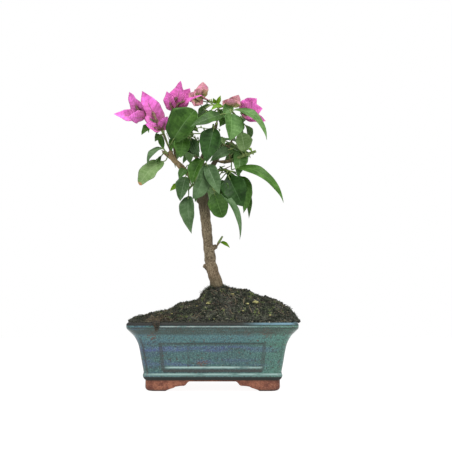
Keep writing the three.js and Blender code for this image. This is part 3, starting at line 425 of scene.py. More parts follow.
def scroll_cutter(crown, shelf, foot, across, through):
    """A bar right through the base whose section is the scrolled arch between two feet. crown, shelf
    and foot are the half widths of its flat top, of its shelf and of its opening on the table."""
    half = [
        (crown, FOOT_HEIGHT), (crown + 1.3, 8.1), (crown + 2.3, 6.9), (crown + 3.2, 5.7), (crown + 4.6, 4.9),
        ((crown + 4.6 + shelf) / 2, 4.7), (shelf, 4.1), (shelf + 1.6, 3.1), ((shelf + foot) / 2, 2.2),
        (foot - 1.8, 1.1), (foot, -0.2), (foot, -2),
    ]
    outline = half + [(-side, up) for side, up in reversed(half)]
    points = [POT_MIDDLE + (across * side + UP * up - through * 100) * MM for side, up in outline]
    mesh = bpy.data.meshes.new("scroll_cutter")
    mesh.from_pydata(points, [], [range(len(points))])
    cutter = bpy.data.objects.new("scroll_cutter", mesh)
    bpy.context.collection.objects.link(cutter)
    work_on(cutter)
    bpy.ops.object.mode_set(mode="EDIT")
    bpy.ops.mesh.select_all(action="SELECT")
    bpy.ops.mesh.extrude_region_move(TRANSFORM_OT_translate={"value": through * 200 * MM})
    close_and_turn_out()
    bpy.ops.object.mode_set(mode="OBJECT")
    return cutter


hollow = rounded_box("hollow_cutter", [(-2, HOLLOW_HALF_WIDTH), (FOOT_HEIGHT, HOLLOW_HALF_WIDTH)], 4)
bpy.ops.object.mode_set(mode="OBJECT")
cut_away(clay, hollow)
cut_away(clay, scroll_cutter(20.3, 32.5, 41.6, across=ALONG_X, through=ALONG_Y))
cut_away(clay, scroll_cutter(9, 18.5, 24.5, across=ALONG_Y, through=ALONG_X))
for side in (-1, 1):
    for piece in (clay, glazed):
        hole = dict(vertices=32, radius=5.5 * MM, depth=20 * MM)
        bpy.ops.mesh.primitive_cylinder_add(location=place(side * 27, 0, 9), **hole)
        cut_away(piece, bpy.context.object)
ease_edges(clay, width=0.7, sharp=32, smooth=40)

terracotta = Finish("bare_terracotta", (98, 50, 36))
across_x, _, level = terracotta.axes()
patch = terracotta.grain(9, 4, roughness=0.65)
grit = terracotta.grain(0.7)
terracotta.coat((150, 94, 70), patch.rise(0.38, 0.62))
terracotta.coat((90, 50, 40), across_x.rise(20, 56) * 0.4)
terracotta.coat((188, 140, 112), grit.rise(0.55, 0.75) * 0.5)
terracotta.coat((66, 40, 32), grit.rise(0.45, 0.33) * 0.75)
terracotta.coat((62, 46, 38), level.rise(8.6, 9.8) * 0.7)
terracotta.coat((42, 32, 27), level.rise(2.2, 0.6) * 0.8)
terracotta.feed("Roughness", 0.72 + patch * 0.2)
terracotta.relief(grit * 0.6 + patch * 0.4, 0.25 * MM)
clay.data.materials.append(terracotta.material)
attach(clay, "root")
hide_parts("pot")

# Mossy mound
# Dark peat heaped well above the lip: a long slope to the left, a full shoulder to the right and a
# collar of moss round the trunk, with lumps where cushions of moss have grown.
SOIL_EDGE = 58.0
SOIL_CREST = 29.0


def soil_height(x, y):
    """Level of the mound by the rule that the solid follows, for a place or arrays of places."""
    left = np.clip((8 - x) / 88, 0, None)
    right = np.clip((x - 8) / 74, 0, None)
    along = np.clip(1 - left**1.1 - right**3.4, 0, None)
    across = np.clip(1 - (np.abs(y) / 54.5) ** 2.4, 0, None)
    collar = 5 * np.exp(-((x - 1) ** 2 + (y + 1) ** 2) / 120)
    cushions = 1.1 * np.sin(x / 6.5 + y / 17) * np.cos(y / 5.5 - x / 23)
    return SOIL_EDGE + (SOIL_CREST * along + cushions) * across + collar


SETTLED_AT = [-70, -58, -38, -29, -24, -15, -12, -9.5, -5, 1, 10, 24, 32, 37, 44, 55, 66, 72]
SETTLED_BY = [0, 2, 3.4, 1.6, 2.2, 4.4, 2.6, -0.6, -2.4, 0, -0.8, -0.6, 0.8, 3.6, 4.2, 3, 3, 1]


def lumps(x, y):
    """Lumps of moss and peat at one place, less what the heap has settled, in millimetres."""
    spot = Vector((x, y, 0))
    settled = float(np.interp(x, SETTLED_AT, SETTLED_BY)) * max(0, 1 - (y / 50) ** 2)
    broad = noise.noise(spot / 10) * 1.2
    clods = abs(noise.noise(spot / 4.2 + Vector((9, 0, 0)))) * 2.2
    crumbs = noise.noise(spot / 1.5 + Vector((0, 9, 0))) * 0.5
    return broad + clods + crumbs - 0.3 - settled


class JoinedMesh:
    """Many small closed shapes gathered into one mesh, each face with its place in the list of finishes."""

    def __init__(self):
        self.points = []
        self.faces = []
        self.finishes = []
        self.count = 0

    def add(self, points, faces, finish):
        """finish is one number, or one for each face."""
        self.points.append(np.asarray(points, float))
        self.faces += [[index + self.count for index in face] for face in faces]
        self.finishes += [finish] * len(faces) if isinstance(finish, int) else list(finish)
        self.count += len(points)

    def made(self, name, materials, smooth=True):
        mesh = bpy.data.meshes.new(name)
        points = np.concatenate(self.points) * MM + np.array(POT_MIDDLE)
        mesh.from_pydata(points.tolist(), [], self.faces)
        for material in materials:
            mesh.materials.append(material)
        mesh.polygons.foreach_set("material_index", self.finishes)
        mesh.polygons.foreach_set("use_smooth", [smooth] * len(self.faces))
        mesh.update()
        piece = bpy.data.objects.new(name, mesh)
        bpy.context.collection.objects.link(piece)
        return piece


def stacked_rings(count, size):
    """Faces of a closed skin over count rings of size points, with a pole point before and after them."""
    faces = [[0, 1 + (i + 1) % size, 1 + i] for i in range(size)]
    for k in range(count - 1):
        for i in range(size):
            a, b = 1 + k * size + i, 1 + k * size + (i + 1) % size
            faces.append([a, b, b + size, a + size])
    last = 1 + count * size
    return faces + [[last, last - size + i, last - size + (i + 1) % size] for i in range(size)]


CORNER_STEPS = 9
SIDE_STEPS = (62, 44, 62, 44)


def wall_outline(half_width):
    """Places along the inside of the pot, with rounded corners and even steps along the sides."""
    middle = np.array((half_width, half_depth(half_width))) - CORNER_RADIUS
    corners = []
    for turn, signs in enumerate(((1, 1), (-1, 1), (-1, -1), (1, -1))):
        angles = (turn + np.arange(CORNER_STEPS + 1) / CORNER_STEPS) * pi / 2
        corners.append(middle * signs + CORNER_RADIUS * np.column_stack([np.cos(angles), np.sin(angles)]))
    outline = []
    for turn, steps in enumerate(SIDE_STEPS):
        start, end = corners[turn][-1], corners[(turn + 1) % 4][0]
        side = start + (end - start) * (np.arange(1, steps) / steps)[:, None]
        outline += [corners[turn], side]
    return np.concatenate(outline)


RINGS_IN = 74
FLOOR_LEVEL = 15.8
rim = wall_outline(69.6)
mound_points = [[(0, 0, FLOOR_LEVEL)]]
INNER_WALL = [(16, 54.4), (30, 57.0), (42, 59.4), (48, 62.0), (54, 66.5), (57.6, 68.4)]
for level_mm, half in INNER_WALL:
    mound_points.append(np.pad(wall_outline(half), ((0, 0), (0, 1)), constant_values=level_mm))
for scale in np.linspace(1, 0.02, RINGS_IN):
    ring = rim * scale
    settle = min(1, (1 - scale) / 0.04)
    uneven = np.array([lumps(x, y) for x, y in ring]) * (0.35 + 0.65 * settle)
    mound_points.append(np.column_stack([ring, soil_height(*ring.T) + uneven]))
mound_points.append([(0, 0, soil_height(0, 0) + lumps(0, 0))])
mound = JoinedMesh()
mound.add(np.concatenate(mound_points), stacked_rings(len(INNER_WALL) + RINGS_IN, len(rim)), 0)

peat = Finish("dark_peat", (20, 21, 18), Roughness=0.95)
clods = peat.grain(5, 5, roughness=0.7)
speck = peat.grain(0.8)
peat.coat((58, 60, 49), clods.rise(0.4, 0.6))
peat.coat((26, 26, 21), peat.grain(16, 3).rise(0.5, 0.34) * 0.6)
peat.coat((116, 118, 100), speck.rise(0.54, 0.7) * 0.8)
peat.coat((22, 22, 18), speck.rise(0.45, 0.3) * 0.8)
peat.relief(speck * 0.5 + clods * 0.5, 0.8 * MM)
mound_piece = mound.made("peat_mound", [peat.material])
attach(mound_piece, "root")
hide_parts("soil")

# Moss, fibres and litter
# Short green moss covers most of the mound in cushions, with dry brown fibres, bits of grit and a few
# fallen yellow leaves lying on it, and a tuft of fibres over the lip at the front left.
SOIL_HALF_WIDTH = 68.9
BANK_SLOPE = 1.25
BANK_HALF_DEPTH = 38
BARE_BELOW = -0.28
MOSS_SPRIGS, RIDGE_SPRIGS = 8600, 620
TETRAHEDRON = [[0, 2, 1], [0, 1, 3], [1, 2, 3], [2, 0, 3]]


def mound_level(x, y):
    """Level of the moss: on the mound, or on the bank that has crept over the lip beyond it."""
    inside = max(-SOIL_HALF_WIDTH, min(SOIL_HALF_WIDTH, x))
    level = float(soil_height(inside, y)) + lumps(inside, y)
    return max(POT_HEIGHT, level - abs(x - inside) * BANK_SLOPE)


def from_trunk(x, y):
    """How far a place on the mound is from the middle of the trunk's foot."""
    return hypot(x - 4, y)


def seeded(seed):
    """The rule's own stream of numbers from 0 to 1, the same as the one that the solids use."""
    while True:
        seed = seed * 16807 % 2147483647
        yield seed / 2147483647


chance = seeded(77)


def pick(low, high):
    return low + (high - low) * next(chance)


def likely(share):
    return next(chance) < share


def unit(vector):
    vector = np.asarray(vector, float)
    return vector / sqrt(vector @ vector)


def spike(foot, lean, width, finish):
    """A three-sided pointed blade of moss."""
    tip = foot + np.array(lean)
    along = unit(tip - foot)
    side = unit(np.cross(along, (0.31, 0.87, 0.39)))
    other = np.cross(along, side)
    ring = [foot + width * (cos(a) * side + sin(a) * other) for a in (0, 2.1, 4.2)]
    moss.add([*ring, tip], TETRAHEDRON, finish)


moss = JoinedMesh()
for sprig in range(MOSS_SPRIGS):
    x, y = pick(-74, 76.5), pick(-52, 52)
    cushion = noise.noise(Vector((x / 9, y / 9, 4)))
    on_bank = abs(x) > SOIL_HALF_WIDTH
    bare = abs(y) > BANK_HALF_DEPTH if on_bank else cushion < BARE_BELOW
    if bare or from_trunk(x, y) < 5:
        continue
    foot = np.array((x, y, mound_level(x, y) - 0.4))
    shade = noise.noise(Vector((x / 6, y / 6, 9))) * 0.9 + pick(-0.5, 0.5)
    # One of the four greens, from the deepest to the freshest
    finish = sum(shade >= step for step in (0.05, 0.34, 0.58))
    tall = pick(1.0, 2.4) * (1 + 0.6 * cushion)
    in_collar = hypot(x + 1, y + 3) < 9
    if in_collar:
        tall *= 1.7
    turn = pick(0, 6.28)
    for k in range(5):
        angle = turn + k * 1.257
        lean = pick(0.35, 0.9)
        lean = tall * np.array((cos(angle) * lean, sin(angle) * lean, pick(0.75, 1.25)))
        spike(foot, lean, 0.32, finish)

# Longer moss of the two deeper greens along the ridge, where it stands up against the light
for sprig in range(RIDGE_SPRIGS):
    x, y = pick(-72, 76), pick(-8, 18)
    if from_trunk(x, y) < 6:
        continue
    foot = np.array((x, y, mound_level(x, y) - 0.3))
    finish = 0 if likely(0.6) else 1
    for k in range(4):
        spike(foot, (pick(-0.8, 0.8), pick(-0.5, 0.5), pick(1.2, 2.8)), 0.3, finish)


def plain_finish(name, low, high, size=2.5, roughness=0.85, specular=0.5):
    """A finish between two close shades, for small things that a pattern would be lost on."""
    finish = Finish(name, low, Roughness=roughness, Specular_IOR_Level=specular)
    finish.coat(high, finish.grain(size).rise(0.35, 0.65))
    return finish.material


moss_piece = moss.made("moss_cushions", [
    plain_finish("moss_deep_green", (24, 30, 21), (48, 55, 40)),
    plain_finish("moss_green", (54, 64, 46), (84, 94, 70)),
    plain_finish("moss_olive", (86, 92, 74), (122, 126, 104)),
    plain_finish("moss_fresh", (98, 118, 60), (144, 156, 96)),
], smooth=False)


def tube(path, radii, sides):
    """Points and faces of a round tube along a path, its ring turned as little as possible on the way."""
    path = np.asarray(path, float)
    headings = np.gradient(path, axis=0)
    side = unit(np.cross(headings[0], (0.36, 0.48, 0.8)))
    points = [path[0]]
    for centre, heading, radius in zip(path, headings, radii):
        heading = unit(heading)
        side = unit(side - heading * (side @ heading))
        other = np.cross(heading, side)
        for k in range(sides):
            angle = 2 * pi * k / sides
            points.append(centre + radius * (cos(angle) * side + sin(angle) * other))
    return np.array([*points, path[-1]]), stacked_rings(len(path), sides)


# Loose fibres all over the mound, and a patch of more at its front left
litter = JoinedMesh()
BROWN, TAN, DARK_GRIT, PALE_GRIT, PEAT, YELLOWED = range(6)
FIBRES, SPREAD_FIBRES, TUFT_FIBRES = 620, 520, 44
for fibre in range(FIBRES):
    x, y = pick(-68, 68), pick(-52, 50)
    if fibre > SPREAD_FIBRES:
        x, y = pick(-54, -42), pick(-53, -34)
    angle, bend, length = pick(0, 6.28), pick(-0.5, 0.5), pick(4, 11)
    path = []
    for k in range(5):
        x += cos(angle + bend * k) * length / 4
        y += sin(angle + bend * k) * length / 4
        x, y = max(-69, min(69, x)), max(-53, min(53, y))
        path.append((x, y, mound_level(x, y) + 0.6 + pick(0, 1.3)))
    litter.add(*tube(path, [0.09, 0.16, 0.17, 0.14, 0.07], 3), BROWN if likely(0.6) else TAN)

# The tuft that hangs over the lip, drawn together below it
TUFT_X = -48.6
for fibre in range(TUFT_FIBRES):
    x, drop = pick(-51.4, -45.6), pick(2, 8.5)
    path = [
        (x, -51.5, 60.5),
        (x + pick(-1, 1), -56, 61.9 + pick(0, 1.2)),
        (x + pick(-1, 1), -59.4 - pick(0, 1), 60.6),
        (TUFT_X + (x - TUFT_X) * 0.7 + pick(-1, 1), -59.9 - pick(0, 1.2), 60.6 - drop * 0.6),
        (TUFT_X + 0.2 + (x - TUFT_X) * 0.3 + pick(-1, 1), -59.2 - pick(0, 1.6), 60.6 - drop),
    ]
    litter.add(*tube(path, [0.14, 0.2, 0.2, 0.17, 0.08], 3), PEAT if likely(0.5) else BROWN)

# The twelve corners and twenty faces of a ball: two poles, and two belts of five
BALL = [(0, 0, -1)]
for level_mm, offset in ((-0.44721, 0), (0.44721, 0.5)):
    for k in range(5):
        angle = (k + offset) * 1.2566
        BALL.append((0.894 * cos(angle), 0.894 * sin(angle), level_mm))
BALL = np.array([*BALL, (0, 0, 1)])
BALL_FACES = []
for k in range(5):
    low, next_low, high, next_high = 1 + k, 1 + (k + 1) % 5, 6 + k, 6 + (k + 1) % 5
    BALL_FACES += [[0, next_low, low], [low, next_low, high]]
    BALL_FACES += [[11, high, next_high], [next_low, next_high, high]]


def crumb(x, y, level_mm, size, flat, finish):
    """An uneven lump, about twice its size long, somewhat narrower, and flat times its length tall."""
    shape = BALL * np.array((size, size * pick(0.6, 1), size * flat))
    shape = shape * np.array([[pick(0.8, 1.2)] for _ in BALL])
    litter.add(shape + np.array((x, y, level_mm)), BALL_FACES, finish)


STONES, LIP_LUMPS, CRUMBS, CLODS, WASHED_CRUMBS, DEAD_SHOOTS = 520, 700, 1500, 260, 1100, 14
for stone in range(STONES):
    x, y = pick(-69, 69), pick(-53, 53)
    size = pick(0.3, 1.0)
    flat = pick(0.5, 0.9)
    crumb(x, y, mound_level(x, y) + size * 0.35, size, flat, DARK_GRIT if likely(0.5) else PALE_GRIT)

# Peat that has crumbled over the lip at both ends, under the moss of the bank
for lump in range(LIP_LUMPS):
    side = 1 if lump % 3 else -1
    x = side * (SOIL_HALF_WIDTH + pick(-1.5, 7.4 if side > 0 else 4.6))
    y = pick(-40, 40)
    size = pick(0.9, 2.2)
    level_mm = max(60.5 + size * 0.4, mound_level(x, y) - pick(0.2, 1) * size)
    crumb(x, y, level_mm, size, pick(0.6, 0.9), PEAT)

# Loose crumbs of peat all over the moss
for lump in range(CRUMBS):
    x, y = pick(-70, 70), pick(-52, 50)
    size = pick(0.5, 1.3)
    flat = pick(0.7, 1)
    crumb(x, y, mound_level(x, y) + size * 0.6, size, flat, PEAT if likely(0.8) else DARK_GRIT)

# Bigger clods along the crest
for lump in range(CLODS):
    x, y = pick(-66, 66), pick(-14, 12)
    size = pick(0.9, 1.9)
    if from_trunk(x, y) > 8:
        crumb(x, y, mound_level(x, y) + size * 0.3, size, pick(0.7, 1), PEAT)

# Fine peat that has washed onto the inner half of the lip
for lump in range(WASHED_CRUMBS):
    x, y = pick(-69, 26), -pick(53, 57.2)
    size = pick(0.35, 0.8)
    crumb(x, y, POT_HEIGHT + size * pick(0, 0.5), size, pick(0.6, 1), PEAT)

# Fallen yellowed leaf ends on the front of the mound, and dead shoots that stick out over the lip
FALLEN_LEAF_ENDS = [
    (37.8, -30, 3.9), (30.8, -36.5, 1.9), (17.7, -25.5, 1.7), (-4.1, -34.5, 2.1), (-14, -30, 1.2),
    (-35.9, -36.5, 1.1), (1.3, -50.5, 1.2), (50.4, -46, 1.4), (26.7, -44, 1.3),
]
for x, y, size in FALLEN_LEAF_ENDS:
    crumb(x, y, mound_level(x, y) + 1.4, size, 0.42, YELLOWED)
for twig in range(DEAD_SHOOTS):
    x, y, side = pick(62, 68), pick(-46, 20), 1
    if twig % 3 == 0:
        x, side = pick(-66, -60), -1
    start = np.array((x, y, mound_level(x, y)))
    end = start + np.array((side * pick(4, 8), pick(-3, 3), pick(-4, 3)))
    end[2] = max(end[2], 61.6)
    middle = (start + end) / 2 + np.array((0, 0, pick(0.5, 2)))
    litter.add(*tube([start, middle, end], [0.35, 0.32, 0.2], 4), PEAT)
litter_piece = litter.made("fibres_and_grit", [
    plain_finish("dry_fibre_brown", (50, 41, 33), (84, 69, 54)),
    plain_finish("dry_fibre_tan", (112, 96, 74), (146, 130, 102)),
    plain_finish("dark_grit", (48, 42, 36), (84, 74, 62)),
    plain_finish("pale_grit", (120, 112, 96), (168, 160, 142)),
    plain_finish("peat_crumbs", (24, 25, 20), (60, 62, 50), 1.2),
    plain_finish("yellowed_leaf_ends", (136, 134, 84), (170, 164, 108), 2),
], smooth=False)
for piece in (moss_piece, litter_piece):
    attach(piece, "root")
    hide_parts("soil")

# Trunk and boughs
# One woody trunk that leans left as it rises, with healed stubs where shoots were cut, a swollen head
# at the old pruning cut, and four boughs. The bark is grey-brown with long shallow furrows.


class Limb:
    """A smooth path through a few points, with radii spread evenly along it, as in the solids."""

    def __init__(self, points, radii):
        self.points = np.array(points, float)
        self.radii = radii

    def at(self, t):
        last = len(self.points) - 1
        k = min(last - 1, int(t * last))
        share = t * last - k
        p1, p2 = self.points[k], self.points[k + 1]
        p0 = self.points[k - 1] if k > 0 else 2 * p1 - p2
        p3 = self.points[k + 2] if k + 2 <= last else 2 * p2 - p1
        start, end = 0.5 * (p2 - p0), 0.5 * (p3 - p1)
        squared = (-3 * p1 + 3 * p2 - 2 * start - end) * share**2
        return p1 + start * share + squared + (2 * p1 - 2 * p2 + start + end) * share**3

    def heading(self, t):
        return unit(self.at(min(1, t + 1e-4)) - self.at(max(0, t - 1e-4)))

    def radius(self, t):
        last = len(self.radii) - 1
        k = min(last - 1, int(t * last))
        return self.radii[k] + (self.radii[k + 1] - self.radii[k]) * (t * last - k)

    def path(self, steps):
        return np.array([self.at(k / steps) for k in range(steps + 1)])

    def tube(self, steps, sides):
        return tube(self.path(steps), [self.radius(k / steps) for k in range(steps + 1)], sides)


TRUNK = Limb([
    (4.8, 0, 86.3), (4.2, 0, 90), (2.4, 0, 96), (0.2, 0.5, 103), (-1.9, 1, 112), (-3.4, 1.5, 122),
    (-4.8, 1.5, 134), (-6.3, 1, 150), (-8.6, 0.5, 168), (-11.2, 0, 185), (-10.8, 0, 199),
], [7.4, 6.2, 5.7, 5.2, 5.1, 4.8, 4.4, 4.5, 5, 5, 4.6])
BOUGHS = {
    "bough_left": Limb([
        (-18.1, -0.5, 190.3), (-23.5, -1.5, 194.5), (-30, -3, 200.8), (-36.4, -4.5, 207.5),
        (-38.8, -6, 214.5),
    ], [2.3, 2.4, 2.6, 2.6, 1.9]),
    "bough_right": Limb([
        (-3.1, 2, 194.2), (-0.4, 3, 201), (4, 3.5, 208.6), (9.5, 2.5, 214.5), (14.5, 0.5, 219.5),
    ], [2.5, 2.4, 2.1, 1.9, 1.5]),
    "bough_leader": Limb([
        (-10.7, 0, 199.4), (-9.8, -1, 207), (-5.5, -2.5, 218), (0.5, -3, 229), (3.4, -3.5, 240),
    ], [2.7, 2.4, 2, 1.7, 1.4]),
    "bough_back": Limb([
        (-11.6, 6.6, 191.6), (-13, 12, 197.2), (-15, 19, 206), (-15.5, 25, 214),
    ], [2.4, 2.2, 1.9, 1.5]),
}
BOUGH_ROOTS = [(-11, 0, 185), (-10.5, 0, 188), (-10.9, 0, 193), (-11, 0, 184)]
STUBS = [
    Limb([(-2, 1, 107), (-9, -1, 110.6)], [3.4, 1.7]),
    Limb([(-3, 1, 125), (3, -2, 127.8)], [3.3, 2.3]),
    Limb([(-9.5, 0, 167), (-14.4, -1, 169.5)], [3.0, 1.5]),
    Limb([(-36, -5, 207), (-41, -6, 210.5), (-45, -6.5, 213.8)], [2.4, 2.1, 1.5]),
    Limb([(-30, -4, 200), (-31.5, -7, 203)], [2.3, 1.5]),
]
wood = JoinedMesh()
wood.add(*TRUNK.tube(90, 24), 0)
wood.add(*tube([(5.6, 0, 79), (5.2, 0, 83), (4.8, 0, 87.5)], [9.5, 8.2, 6.9], 20), 0)
for limb, root in zip(BOUGHS.values(), np.array(BOUGH_ROOTS)):
    wood.add(*limb.tube(40, 14), 0)
    wood.add(*tube([root, (root + limb.points[0]) / 2, limb.at(0.06)], [3.4, 2.9, limb.radii[0]], 14), 0)
for stub in STUBS:
    wood.add(*stub.tube(4, 12), 0)

bark = Finish("grey_brown_bark", (108, 94, 72))
wood_piece = wood.made("trunk_and_boughs", [bark.material])
modify(wood_piece, "REMESH", mode="VOXEL", voxel_size=0.42 * MM)
modify(wood_piece, "SMOOTH", factor=0.5, iterations=6)

# The bark's relief and its colour follow the wood: each point is placed round the nearest part of the
# centreline and along it.
centreline = []
for limb in (TRUNK, *BOUGHS.values()):
    steps = 160 if limb is TRUNK else 60
    path = limb.path(steps)
    runs = np.cumsum([0, *np.linalg.norm(np.diff(path, axis=0), axis=1)])
    centreline += [(path[k], limb.heading(k / steps), runs[k]) for k in range(steps + 1)]
nearest_wood = KDTree(len(centreline))
for index, (centre, _, _) in enumerate(centreline):
    nearest_wood.insert(Vector(centre), index)
nearest_wood.balance()

mesh = wood_piece.data
wood_points = (np.array([vertex.co for vertex in mesh.vertices], float) - np.array(POT_MIDDLE)) / MM
wood_normals = np.array([vertex.normal for vertex in mesh.vertices])
bark_place = np.empty_like(wood_points)
for index, point in enumerate(wood_points):
    centre, heading, run = centreline[nearest_wood.find(Vector(point))[1]]
    out = point - centre
    run = run + out @ heading
    out = out - heading * (out @ heading)
    bark_place[index] = (out[0], out[1], run)
    spot = Vector(bark_place[index])
    furrow = abs(noise.noise(Vector((spot.x / 1.9, spot.y / 1.9, spot.z / 9))))
    knot = noise.noise(Vector((spot.x / 7, spot.y / 7, spot.z / 6)) + Vector((5, 5, 5)))
    crack = noise.noise(Vector((spot.x / 0.8, spot.y / 0.8, spot.z / 2.4)))
    share = min(1, sqrt(out @ out) / 4.5)
    relief = (furrow * 0.9 - 0.22) * share + knot * 0.6 * share + crack * 0.22
    wood_points[index] = point + wood_normals[index] * relief
mesh.vertices.foreach_set("co", (wood_points * MM + np.array(POT_MIDDLE)).ravel())
stored = mesh.attributes.new("bark_place", "FLOAT_VECTOR", "POINT")
stored.data.foreach_set("vector", bark_place.ravel())
mesh.polygons.foreach_set("use_smooth", [True] * len(mesh.polygons))
mesh.update()

across_x, _, level = bark.axes()
along_bark = bark.node("ShaderNodeAttribute", {"attribute_name": "bark_place"}, output="Vector")
furrows = bark.grain(1.5, 4, (1, 1, 5), 0.6, along_bark)
scale = bark.grain(5, 3, (1, 1, 2.2), where=along_bark)
fine = bark.grain(0.5, 2, (1, 1, 2), where=along_bark)
flakes = bark.grain(0.9, 3, (1, 1, 1.6), 0.6, along_bark)
bark.coat((142, 128, 102), scale.rise(0.35, 0.65))
bark.coat((118, 94, 70), level.rise(122, 96) * 0.5)
bark.coat((66, 54, 42), furrows.rise(0.48, 0.32) * 0.5)
bark.coat((60, 49, 38), flakes.rise(0.47, 0.35) * 0.75)
bark.coat((176, 160, 136), flakes.rise(0.54, 0.68) * 0.65)
# Painted shade of the crown: the upper trunk darker
bark.coat((74, 68, 48), level.rise(146, 172) * 0.8)
bark.coat((166, 142, 104), across_x.rise(-15, -21) * 0.8)
bark.coat((70, 56, 42), flakes.rise(0.46, 0.36) * 0.5)
bark.coat((70, 72, 48), level.rise(104, 90) * 0.5)
bark.feed("Roughness", 0.8 + fine * 0.15)
bark.relief(furrows * 0.6 + fine * 0.4, 0.35 * MM)
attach(wood_piece, "root")
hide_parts("trunk", *BOUGHS)

# Leaves, blooms and twigs by the rule
# Every mass of foliage is a thin stem on its limb, with the leaves and blooms that lead its outline set one
# by one and shoots that fill the rest by the rule the solids follow.
CROWN_MIDDLE = np.array((-6.0, 0, 206))
CLEARANCE = 0.3
KEEP_CLEAR = 3.4
KEEP_OFF_LIMB = 1.6
GOLDEN_TURN = radians(137.5)
LIMBS = {"trunk": TRUNK, **BOUGHS}


class Blade:
    """A leaf or a bract, folded along its midrib and arched by sag degrees. reach goes from its foot to
    its tip, and facing is the way that its upper side looks."""

    def __init__(self, foot, reach, width, facing=None, tint="mid", sag=20, blunt=0, fold=0.42, kind="leaf"):
        self.foot = np.array(foot, float)
        self.length = sqrt(np.dot(reach, reach))
        self.along = unit(reach)
        if facing is None:
            middle = self.foot + np.array(reach) / 2
            facing = unit((middle - CROWN_MIDDLE) * (1, 1, 0.4)) + (0, 0, 0.85)
        self.up = unit(facing - self.along * (facing @ self.along))
        self.side = np.cross(self.up, self.along)
        self.turn = radians(sag) / 2
        self.width, self.blunt, self.tint, self.fold, self.kind = width, blunt, tint, fold, kind

    def spine(self, t):
        """Places down the middle, and which way the upper side faces there."""
        angle = self.turn * (1 - 2 * np.asarray(t, float)[..., None])
        reach = self.length / (2 * sin(self.turn))
        forward = (sin(self.turn) - np.sin(angle)) * reach
        rise = (np.cos(angle) - cos(self.turn)) * reach
        normal = self.up * np.cos(angle) - self.along * np.sin(angle)
        return self.foot + self.along * forward + self.up * rise, normal

    def half_width(self, t):
        """Half the width at t: greatest a third of the way along a drawn-out blade, and halfway along a
        blunt one."""
        rise, fall = 0.7, 1.25 - 0.65 * self.blunt
        peak = rise / (rise + fall)
        return self.width / 2 * t**rise * (1 - t) ** fall / (peak**rise * (1 - peak) ** fall)

    def points(self):
        t = np.arange(7) / 6
        centre, normal = self.spine(t)
        half = self.half_width(t)[:, None]
        flat, lift = self.side * half * cos(self.fold), normal * half * sin(self.fold)
        return np.stack([centre - flat + lift, centre, centre + flat + lift], axis=1).reshape(-1, 3)


def bloom(foot, bracts, tint="pink"):
    """The bracts that open from one foot, from the reach, width, facing and sag of each."""
    return [Blade(foot, *shape, tint, sag, 0.35, 0.3, "bract") for *shape, sag in bracts]


def turned(vector, axis, angle):
    cosine, sine = cos(angle), sin(angle)
    return vector * cosine + np.cross(axis, vector) * sine + axis * (axis @ vector) * (1 - cosine)


def spacing(points, others):
    """The least distance between two sets of places."""
    points, others = np.atleast_2d(points), np.atleast_2d(others)
    return np.sqrt(((points[:, None] - others[None]) ** 2).sum(axis=2)).min()


def clear_of_limbs(points):
    return all(
        spacing(points, limb.at(k / 16)) >= limb.radius(k / 16) + KEEP_OFF_LIMB
        for limb in LIMBS.values() for k in range(17))


